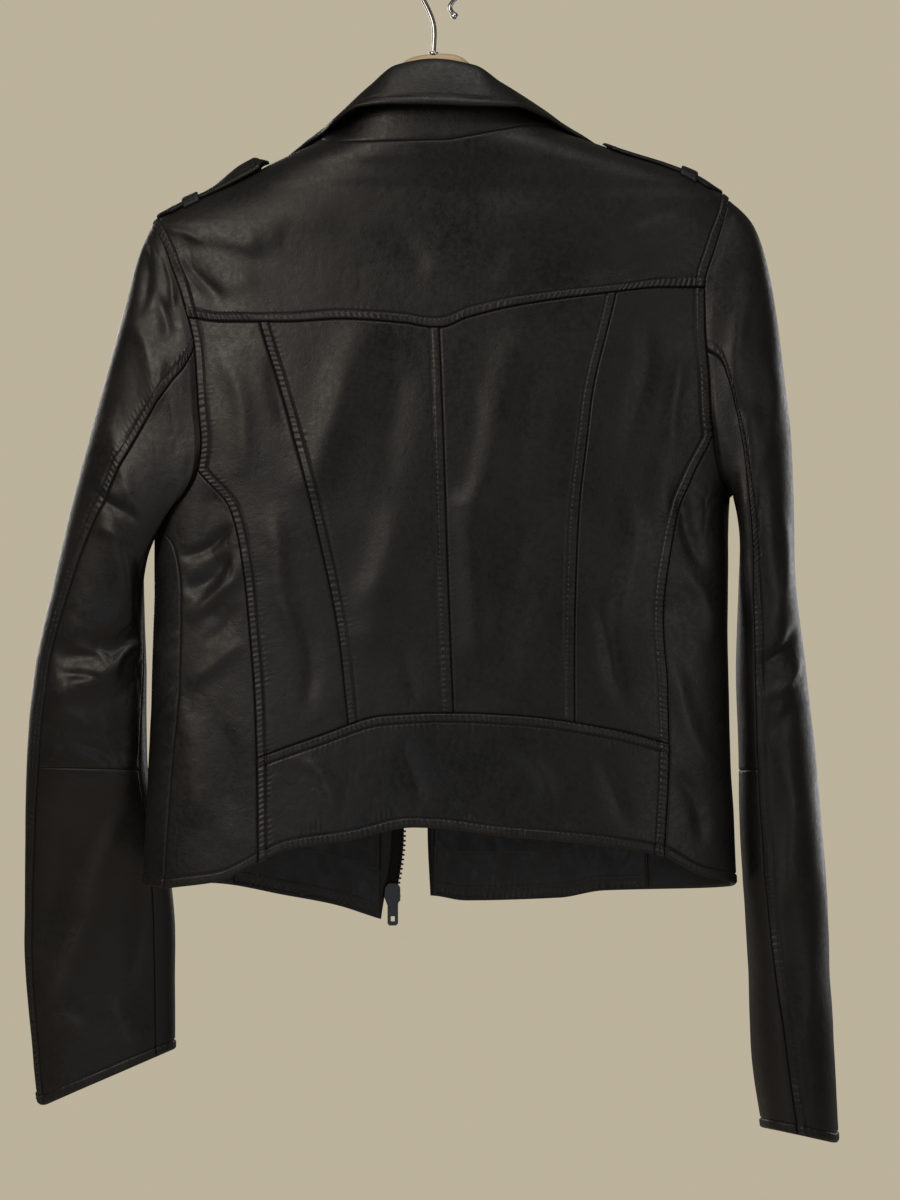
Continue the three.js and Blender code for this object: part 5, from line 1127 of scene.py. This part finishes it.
def make_sleeves():
    for number, side in enumerate(SIDES):
        at = sleeve_at[side]
        station = seam_station(side)
        seam = lambda ring: lerp(at["seam"](ring), station, np.maximum(1 - ring, 0))
        front = lambda ring: at["inner"](ring) - 360
        cuts = {
            "sleeve_top": (front, seam, 0, CUFF_RING, ("sleeve_top_upper", "sleeve_top_lower")),
            "sleeve_under_upper": (seam, at["inner"], 0, ELBOW_RING, ("sleeve_under_upper",)),
            "sleeve_under_lower": (seam, at["inner"], ELBOW_RING, CUFF_RING, ("sleeve_under_lower",)),
        }
        for count, (cut, (start, end, high, low, nodes)) in enumerate(cuts.items()):
            def point(s, t):
                share = s if side == "left" else 1 - s
                away = lerp(start(low), end(low), share) / CUFF_CORNER["half"]
                corner = CUFF_CORNER[side] * np.exp(-away ** 2)
                ring = lerp(low - corner * (low == CUFF_RING), float(high), t)
                return sleeve_point(side, ring, np.radians(lerp(start(ring), end(ring), share)))
            back_edge = "right" if side == "left" else "left"
            edges = {"sleeve_top": {back_edge: "strong", "bottom": "hem"},
                     "sleeve_under_upper": {"bottom": "over"},
                     "sleeve_under_lower": {"bottom": "hem", "top": "under"}}[cut]
            across = 3.2 if cut == "sleeve_top" else 2.6
            grid = even_grid(point, across, 1.4, edges)
            at_armhole = None
            if high == 0:
                share = np.linspace(0, 1, grid.shape[1])
                turn = np.radians(lerp(start(0.0), end(0.0), share if side == "left" else 1 - share))
                at_armhole = body_normal(*armhole_place(side, turn))
            dress(f"{cut}_{side}", grid, edges, [f"{node}_{side}" for node in nodes],
                  seed=SEEDS["sleeves"] + SEEDS_A_SLEEVE * number + count, group=f"sleeve_{side}",
                  top_normals=at_armhole)


# ---------- collar and lapels ----------
collar_at = {column: follow(COLLAR, "v", column) for column in ("fx", "fy", "fz", "ex", "ey", "ez")}


def collar_fold(v):
    return np.stack([collar_at[key](v) for key in ("fx", "fy", "fz")], -1)


def collar_edge(v):
    return np.stack([collar_at[key](v) for key in ("ex", "ey", "ez")], -1)


def collar_seat(v):
    """Where the collar is sewn on: the neck seam, then down the roll line at each front."""
    along = np.clip((np.abs(v) - COLLAR_NECK_END) / (1 - COLLAR_NECK_END), 0, 1)
    down = 1 - along * COLLAR_DROP * (1 - PIT_SHARE)
    sides = np.where(v < 0, front_edge["left"](down), front_edge["right"](down))
    return np.where(np.abs(v) <= COLLAR_NECK_END, neck_seam((v / COLLAR_NECK_END + 1) / 2), sides)


def stand_point(v, t):
    return lerp(body_point(*collar_seat(v)), collar_fold(v), t[..., None])


def fall_point(v, t):
    """Over the fold and down outside the stand, as a cubic curve of four handles."""
    fold = collar_fold(v)
    up = unit(fold - stand_point(v, 0 * v))
    ahead = collar_fold(np.minimum(v + 0.01, 1)) - collar_fold(np.maximum(v - 0.01, -1))
    out = unit(np.cross(ahead, up))
    tight = (COLLAR_TIGHT * smoothstep(np.abs(v), 0.7, 1))[..., None]
    p0 = fold - out * LEATHER + up * (LEATHER + 0.9 + tight)
    p1 = fold + out * 4 + up * (LEATHER + 3.6 + tight)
    p2 = fold + out * 7 + up * tight
    u = (1 - t)[..., None]
    return (1 - u) ** 3 * p0 + 3 * u * (1 - u) ** 2 * p1 + 3 * u * u * (1 - u) * p2 + u ** 3 * collar_edge(v)


def front_region(side, inner, outer, bottom, top):
    run = lambda spots: run_through(on_fronts(spots, side))
    if side == "left":
        return region(run(inner), run(outer), run(bottom), run(top))
    return region(run(outer), run(inner), reversed_run(run(bottom)), reversed_run(run(top)))


def make_collar():
    stand = even_grid(lambda s, t: stand_point(2 * s - 1, t), 2.2, 2.0)
    dress("collar_stand", stand, {"top": "plain", "bottom": "plain"}, seed=SEEDS["collar_stand"], folds=0.35,
          group="collar", looks=[LEATHER_LOOK, FACING_LOOK], coarse=2)
    fall = even_grid(lambda s, t: fall_point(2 * s - 1, t * 0.998 + 0.001), 1.6, 1.6)
    dress("collar_fall", fall, {"bottom": "edge", "left": "edge", "right": "edge", "top": "cut"},
          seed=SEEDS["collar_fall"], folds=0.5, group="collar", looks=BOTH_LEATHER, coarse=2, lap=0)
    for count, side in enumerate(SIDES):
        lapel = LAPEL[side]
        roll = [spot for spot in FRONT_EDGE[side] if lapel["break"][1] < spot[1] < lapel["top"][1]]
        place = front_region(side, [lapel["break"], *roll, lapel["top"]],
                             [lapel["foot"], *lapel["edge"][::-1], lapel["tip"]],
                             [lapel["break"], lapel["foot"]], [lapel["top"], lapel["tip"]])
        outer = "right" if side == "left" else "left"
        dress(f"lapel_{side}", even_grid(lambda s, t: body_point(*place(s, t)), 2.0, 2.0),
              {outer: "edge", "top": "edge"}, seed=SEEDS["lapels"] + count, out=LAY_GAP + LEATHER, folds=0.6,
              group="collar", looks=BOTH_LEATHER)


# ---------- inside the fronts ----------
def raised(run, by):
    def lifted(u):
        place = run(u)
        return np.array([place[PHI], place[Z] + by])
    return lifted


LINING_TOP = 150              # height of the lining above the hem, past where it shows
LINING_UNDER = 3.4            # its outer face, inside the facing's
LINING_THICK = 0.8


def make_insides():
    """The leather facing along each front's hem, and the lining above it."""
    for count, side in enumerate(SIDES):
        start = passes(front_hem[side], PHI, on_front(FACING[side], FACING["level"], side)[PHI])
        low = stretch(front_hem[side], 0.005, start)
        strips = {"facing": (1, FACING["height"]), "lining": (FACING["height"] - 5, LINING_TOP)}
        for kind, (foot, top) in strips.items():
            bottom, upper = raised(low, foot), raised(low, top)
            ends = [lambda t, start=low(u), foot=foot, top=top: np.array([start[PHI] + 0 * t,
                                                                          start[Z] + lerp(foot, top, t)])
                    for u in (0.0, 1.0)]
            place = region(*ends, bottom, upper)
            if side == "right":
                place = region(ends[1], ends[0], reversed_run(bottom), reversed_run(upper))
            across, up = (1.3, 1.5) if kind == "facing" else (2.2, 2.2)
            grid = even_grid(lambda s, t: body_point(*place(s, t)), across, up)
            if kind == "facing":
                inside_piece(f"facing_{side}_leather", grid, -LEATHER - FACING["gap"], FACING["thick"],
                             FACING_LOOK, "facing", SEEDS["facings"] + count, [f"facing_{side}"])
            else:
                inside_piece(f"lining_{side}_cloth", grid, -LEATHER - FACING["gap"] - LINING_UNDER,
                             LINING_THICK, LINING_LOOK, "lining", SEEDS["linings"] + count, [])


def inside_piece(name, grid, out, thick, look, slot, seed, nodes):
    normal = normals(grid)
    base = grid + normal * out
    if slot == "facing":
        seams = seam_relief(base, {"bottom": "hem", "top": "plain"}, seed)
        relief = -seams - 0.5 * noise(base, 14, seed) - 0.25 * noise(base, 7, seed + 1)
    else:
        slanted = base * np.array([1.0, 1.0, 0.45])
        wrinkle = np.abs(noise(slanted, 26, seed)) + 0.6 * np.abs(noise(slanted, 11, seed + 1))
        relief = 2.4 * wrinkle - 1.2
    # The shown face is the inner one, so it is the fine one here, and the wall is turned over.
    shown = (base - normal * (thick + relief)[..., None])[:, ::-1]
    hidden = base[:, ::-1]
    piece = wall(name, shown, hidden, [look, look], np.clip(relief * 0.1, 0, 0.3)[:, ::-1])
    declare(piece, base, nodes)
    if slot == "facing":
        points, ups = polyline_at(shown, normals(shown), "bottom", SEAM_LOOKS["hem"]["stitch"])
        stitch_lines.setdefault("inside", []).append((points, ups))


# ---------- epaulettes ----------
def top_at(x, y):
    """The height of the shoulders' surface above (x, y)."""
    def inside(z):
        depth = np.where(y < 0, body_at["back"](z), body_at["front"](z))
        reach = np.where(x < 0, body_at["left"](z), body_at["right"](z))
        return (np.abs(x) / reach) ** BODY_SQUARE + (np.abs(y) / depth) ** BODY_SQUARE < 1
    return last_where(inside, np.full_like(x, -140.0), np.full_like(x, 14.0))


def top_point(x, y, lift):
    slope_x = (top_at(x + 1, y) - top_at(x - 1, y)) / 2
    slope_y = (top_at(x, y + 1) - top_at(x, y - 1)) / 2
    normal = unit(np.stack([-slope_x, -slope_y, np.ones_like(x)], -1))
    return np.stack([x, y, top_at(x, y)], -1) + normal * lift[..., None]


def make_epaulettes():
    for count, side in enumerate(SIDES):
        strap = EPAULETTE[side]
        start, end = strap["from"], strap["to"]
        flip = (lambda s: s) if side == "left" else (lambda s: 1 - s)
        edgeward = lambda t: np.abs(2 * t - 1)

        def lift_at(x, t):
            """The strap arches off the shoulder towards its neck end, and comes down at its point."""
            along = (x - start) / (end - start)
            arch = smoothstep(along, 0.4, 0.82) * (1 - smoothstep(along, 0.9, 1))
            arch = arch * (1 - edgeward(t) ** 2)
            return LAY_GAP + strap["thick"] + strap["lift"] * arch

        def strap_point(s, t):
            sewn = lerp(start, end, STRAP["hollow"] * edgeward(t) ** 2)
            reach = lerp(end, start, STRAP["point"] * edgeward(t) ** STRAP["blunt"])
            x = lerp(sewn, reach, flip(s))
            return top_point(x, strap["y"] + (t - 0.5) * STRAP["width"], lift_at(x, t))

        def loop_point(s, t):
            x = strap["loop"] + (s - 0.5) * STRAP["loop_wide"]
            half = STRAP["width"] / 2 + 4
            over = 1 - smoothstep(edgeward(t) * half, STRAP["width"] / 2 - 1, half)
            return top_point(x, strap["y"] + (2 * t - 1) * half,
                             LAY_GAP + STRAP["loop_thick"] + over * (lift_at(x, 0.5) + 0.4))
        edges = {"bottom": "edge", "top": "edge", "left" if side == "right" else "right": "edge"}
        dress(f"epaulette_{side}", even_grid(strap_point, 1.2, 1.2), edges, seed=SEEDS["straps"] + count,
              thick=strap["thick"], folds=0.3, group="collar", looks=BOTH_LEATHER, lap=0)
        dress(f"epaulette_loop_{side}", even_grid(loop_point, 0.9, 1.2), {"left": "cut", "right": "cut"},
              seed=SEEDS["loops"] + count, thick=STRAP["loop_thick"], folds=0, group="collar",
              looks=BOTH_LEATHER, lap=0)


# ---------- zip ----------
TOOTH = {"pitch": 3.3, "wide": 3.0, "tall": 1.5, "deep": 2.7}


def beyond(place, by):
    """A place moved past the front's edge by a distance, round the body."""
    here = body_point(*place)
    per_turn = np.linalg.norm(body_point(place[PHI] - 0.01, place[Z]) - here, axis=-1) / 0.01
    return np.array([place[PHI] - by / per_turn, place[Z]])


def teeth(points, ups, sides):
    """Zip teeth along a line: small blocks with a waist, each at one pitch from the next."""
    at = np.append(0, np.cumsum(np.linalg.norm(np.diff(points, axis=0), axis=1)))
    where = np.arange(0.5, at[-1] / TOOTH["pitch"]) * TOOTH["pitch"]
    sample = lambda values: np.stack([np.interp(where, at, values[:, k]) for k in range(3)], -1)
    spot, up, side = sample(points), unit(sample(ups)), unit(sample(sides))
    along = unit(np.cross(up, side))
    vertices = []
    # From the jaws on the tape to the rounded head: share of width, height and depth.
    for across, tall, deep in ((-0.5, 0.8, 1.0), (-0.05, 0.75, 0.95), (0.25, 1.0, 0.8), (0.5, 0.55, 0.55)):
        for rise, depth in ((-0.5, -0.5), (0.5, -0.5), (0.5, 0.5), (-0.5, 0.5)):
            vertices.append(spot + side * (across * TOOTH["wide"]) + along * (rise * tall * TOOTH["tall"])
                            + up * (depth * deep * TOOTH["deep"]))
    vertices = np.stack(vertices, 1)
    faces = [[3, 2, 1, 0], [12, 13, 14, 15]]
    for k in range(3):
        faces += [[4 * k + m, 4 * k + (m + 1) % 4, 4 * k + 4 + (m + 1) % 4, 4 * k + 4 + m] for m in range(4)]
    everything = [[16 * n + v for v in face] for n in range(len(where)) for face in faces]
    return vertices.reshape(-1, 3), everything


def make_zip():
    tape_edge = stretch(front_edge["left"], 0.03, 0.5)
    tape_out = -(LEATHER - TAPE["thick"]) / 2
    left = region(lambda t: beyond(tape_edge(t), TAPE["width"]), tape_edge,
                  lambda s: beyond(tape_edge(0 * s), TAPE["width"] * (1 - s)),
                  lambda s: beyond(tape_edge(0 * s + 1), TAPE["width"] * (1 - s)))
    foot, top, wide = RIGHT_TAPE["foot"], RIGHT_TAPE["top"], RIGHT_TAPE["width"]
    start, end = RIGHT_TAPE["in_from"], RIGHT_TAPE["in_to"]
    right = front_region("right", [(start, foot), (end, top)], [(start + wide, foot), (end + wide, top)],
                         [(start, foot), (start + wide, foot)], [(end, top), (end + wide, top)])
    for side, place, out in (("left", left, tape_out), ("right", right, LAY_GAP + TAPE["thick"])):
        grid = even_grid(lambda s, t: body_point(*place(s, t)), 0.9, 1.2)
        normal = normals(grid)
        base = grid + normal * out
        ridge = 0.12 * np.sin(lengths(base, 0) * 2 * math.pi / 1.6) - 0.1
        piece = wall(f"zip_tape_{side}_weave", base + normal * ridge[..., None],
                     base - normal * TAPE["thick"], [TAPE_LOOK, TAPE_LOOK])
        declare(piece, base, [f"zip_tape_{side}"])
        chain = base[:, 0] - normal[:, 0] * TAPE["thick"] / 2
        outward = unit(base[:, 0] - base[:, 2])
        if side == "right":
            chain, outward = base[:, -1] - normal[:, -1] * 0.2, unit(base[:, -1] - base[:, -3])
        metal = joined_mesh(f"zip_teeth_{side}", [teeth(chain, normal[:, 0], outward)], [ZIP_LOOK])
        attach(metal, "jacket")


# ---------- hanger ----------
def ridge_at(x):
    edge = body_at["left"] if x < 0 else body_at["right"]
    return float(last_where(lambda z: edge(z) > abs(x), -140.0, 14.0))


def wood_top(x):
    inside = max(1 - abs(x) / HANGER["shoulder"], 0)
    ridge = ridge_at(x)
    if inside:
        ridge = lerp(ridge_at(math.copysign(HANGER["shoulder"], x)), HANGER["middle"], inside)
    return ridge - HANGER["under"] + HANGER["rise"] * math.exp(-(abs(x / HANGER["neck"]) ** HANGER["blunt"]))


def wood_foot(x):
    return min(wood_top(x), HANGER["arch"] - abs(x) * HANGER["arch_fall"]) - HANGER["tall"]


def tube(path, radius, sides=20):
    """A closed round tube along points, with its ends closed."""
    along = unit(np.gradient(path, axis=0))
    side = np.tile([0.0, 1.0, 0.0], (len(path), 1))
    up = unit(np.cross(side, along))
    turns = np.linspace(0, 2 * math.pi, sides, endpoint=False)
    rings = path[:, None] + radius * (np.cos(turns)[None, :, None] * side[:, None]
                                      + np.sin(turns)[None, :, None] * up[:, None])
    return loft(rings)


def loft(rings):
    """A closed body through rings of points, its ends closed flat."""
    count, sides = rings.shape[:2]
    index = np.arange(count * sides).reshape(count, sides)
    after = np.roll(index, -1, axis=1)
    faces = quads(index[:-1], after[:-1], after[1:], index[1:])
    faces += [index[0, ::-1].tolist(), index[-1].tolist()]
    return rings.reshape(-1, 3), faces


def ball(centre, radius, sides=24):
    heights = np.linspace(-1, 1, 15)[1:-1] * math.pi / 2
    turns = np.linspace(0, 2 * math.pi, sides, endpoint=False)
    rings = np.array([[[radius * math.cos(h) * math.cos(a), radius * math.cos(h) * math.sin(a),
                        radius * math.sin(h)] for a in turns] for h in heights])
    return loft(np.array(centre) + rings)


def make_hanger():
    stations = np.linspace(-HANGER["reach"], HANGER["reach"], 161)
    corner = np.linspace(0, 2 * math.pi, 28, endpoint=False)
    rings = []
    for x in stations:
        high, low = wood_top(x), wood_foot(x)
        end = 1 - 0.12 * smoothstep(abs(x), HANGER["reach"] - 6, HANGER["reach"])
        y = rounded(np.cos(corner), 4.2) * HANGER["thick"] / 2 * end
        z = (high + low) / 2 + rounded(np.sin(corner), 5) * (high - low) / 2 * end
        rings.append(np.stack([np.full_like(y, x), y, z], -1))
    wood = joined_mesh("hanger_wood_finish", [loft(np.array(rings))], [WOOD_LOOK])
    peak = HANGER["middle"] - HANGER["under"] + HANGER["rise"]
    bend_z = HOOK_RISE + HOOK["wire"] - HOOK["radius"]
    bend = [(HOOK["x"] + HOOK["radius"] * math.cos(a), 0, bend_z + HOOK["radius"] * math.sin(a))
            for a in np.radians(np.linspace(205, -25, 19))]
    route = [(0, 0, peak + 0.3), (0, 0, HOOK["straight"]), (HOOK["lean_x"], 0, HOOK["lean_z"]), *bend,
             (HOOK["flare_x"], 0, HOOK["flare_z"]), (HOOK["tip_x"], 0, HOOK["tip_z"])]
    wire = smooth_path(np.array(route, float), 140)
    hook = joined_mesh("hanger_hook_wire", [
        tube(wire, HOOK["wire"]), ball((HOOK["tip_x"], 0, HOOK["tip_z"]), HOOK["ball"]),
        tube(np.array([[0, 0, peak - 1.5], [0, 0, peak + 0.9], [0, 0, peak + 1.3]]), 3.4)], [STEEL_LOOK])
    for piece, node, slot in ((wood, "hanger_wood", "hanger_wood"), (hook, "hanger_hook", "hook_steel")):
        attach(piece, "jacket")
        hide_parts(node)


def smooth_path(points, count):
    """A centripetal Catmull-Rom curve through points."""
    extended = np.vstack([2 * points[0] - points[1], points, 2 * points[-1] - points[-2]])
    steps = np.linalg.norm(np.diff(extended, axis=0), axis=1)
    knots = np.append(0, np.cumsum(np.maximum(steps, 1e-6) ** 0.5))
    where = np.linspace(knots[1], knots[-2], count)
    result = []
    for t in where:
        i = int(np.clip(np.searchsorted(knots, t, side="right") - 1, 1, len(extended) - 3))
        p, k = extended[i - 1:i + 3], knots[i - 1:i + 3]
        a = [((k[m + 1] - t) * p[m] + (t - k[m]) * p[m + 1]) / (k[m + 1] - k[m]) for m in range(3)]
        b = [((k[m + 2] - t) * a[m] + (t - k[m]) * a[m + 1]) / (k[m + 2] - k[m]) for m in range(2)]
        result.append(((k[2] - t) * b[0] + (t - k[1]) * b[1]) / (k[2] - k[1]))
    return np.array(result)


# ---------- stitches ----------
def make_stitches():
    for group, lines in stitch_lines.items():
        parts = [dashes(points, ups) for points, ups in lines if len(points) > 4]
        piece = joined_mesh(f"stitches_{group}", parts, [THREAD_LOOK])
        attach(piece, "jacket")


# ---------- studio ----------
CAMERA = {"x": 11.5, "z": -322, "away": 1250, "sensor": 36, "frame": 840}


def make_camera():
    data = bpy.data.cameras.new("camera")
    data.sensor_fit = "VERTICAL"
    data.sensor_height = CAMERA["sensor"]
    data.lens = CAMERA["sensor"] * CAMERA["away"] / CAMERA["frame"]
    camera = bpy.data.objects.new("camera", data)
    spot = (np.array([CAMERA["x"], SPREAD["plane"] - CAMERA["away"], CAMERA["z"]]) - origin) / 1000
    camera.location = spot
    camera.rotation_euler = (QUARTER, 0, 0)
    bpy.context.scene.collection.objects.link(camera)
    bpy.context.scene.camera = camera


FLOOR_Z = -1.78
LIGHTS = table(
    "name at size power colour",
    ("key", (-1.4, -1.75, 0.55), (1.3, 1.3), 20, (1.0, 0.91, 0.79)),
    ("fill", (1.7, -1.9, -0.3), (1.2, 1.6), 5, (1.0, 0.96, 0.92)),
    ("cool", (-0.5, -2.3, -1.1), (0.8, 0.8), 2.0, (0.62, 0.76, 1.0)),
    ("top", (0.1, -0.9, 1.4), (1.4, 0.9), 9, (1.0, 0.95, 0.88)),
    ("front", (-1.2, 2.2, 0.1), (1.5, 1.5), 20, (1.0, 0.96, 0.9)),
    ("front_fill", (1.6, 2.0, -0.3), (1.2, 1.6), 10, (0.96, 0.97, 1.0)))
ROOM = {"seen": (0.50, 0.445, 0.335), "lit": (0.075, 0.067, 0.056)}


def make_world():
    """The room: pale where it is seen, and much dimmer where it lights the jacket."""
    world = bpy.data.worlds.new("studio")
    world.use_nodes = True
    nodes, links = world.node_tree.nodes, world.node_tree.links
    mix = nodes.new("ShaderNodeMix")
    mix.data_type = "RGBA"
    links.new(nodes.new("ShaderNodeLightPath").outputs["Is Camera Ray"], mix.inputs["Factor"])
    mix.inputs[6].default_value = (*ROOM["lit"], 1)
    mix.inputs[7].default_value = (*ROOM["seen"], 1)
    links.new(mix.outputs[2], nodes["Background"].inputs["Color"])
    bpy.context.scene.world = world


def make_studio():
    floor_mesh = bpy.data.meshes.new("floor")
    half = 2.5
    floor_mesh.from_pydata([(-half, -half, FLOOR_Z), (half, -half, FLOOR_Z), (half, half, FLOOR_Z),
                            (-half, half, FLOOR_Z)], [], [(0, 1, 2, 3)])
    floor = bpy.data.objects.new("floor", floor_mesh)
    bpy.context.scene.collection.objects.link(floor)
    floor_look = Net("pale_floor", Roughness=0.7)
    floor_look.set("Base Color", floor_look.mix(floor_look.noise(floor_look.place(), 3), (0.60, 0.55, 0.46),
                                                (0.66, 0.60, 0.51)))
    floor_mesh.materials.append(floor_look.material)
    middle = np.array([0.0, 0.0, -0.45])
    for light in LIGHTS:
        data = bpy.data.lights.new(light["name"], "AREA")
        data.shape = "RECTANGLE"
        data.size, data.size_y = light["size"]
        data.energy = light["power"]
        data.color = light["colour"]
        lamp = bpy.data.objects.new(light["name"], data)
        lamp.location = light["at"]
        direction = middle - np.array(light["at"])
        lamp.rotation_euler = (math.atan2(math.hypot(direction[0], direction[1]), -direction[2]), 0,
                              math.atan2(direction[1], direction[0]) - QUARTER)
        bpy.context.scene.collection.objects.link(lamp)
    make_world()
    bpy.context.scene.view_settings.view_transform = "Standard"


# ---------- the scene ----------
make_camera()
make_studio()
make_hanger()
make_body()
make_sleeves()
make_collar()
make_insides()
make_epaulettes()
make_zip()
make_stitches()
for node in ("zip_slider", "zip_pull"):
    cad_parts[node].data.materials.clear()
    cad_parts[node].data.materials.append(ZIP_LOOK)
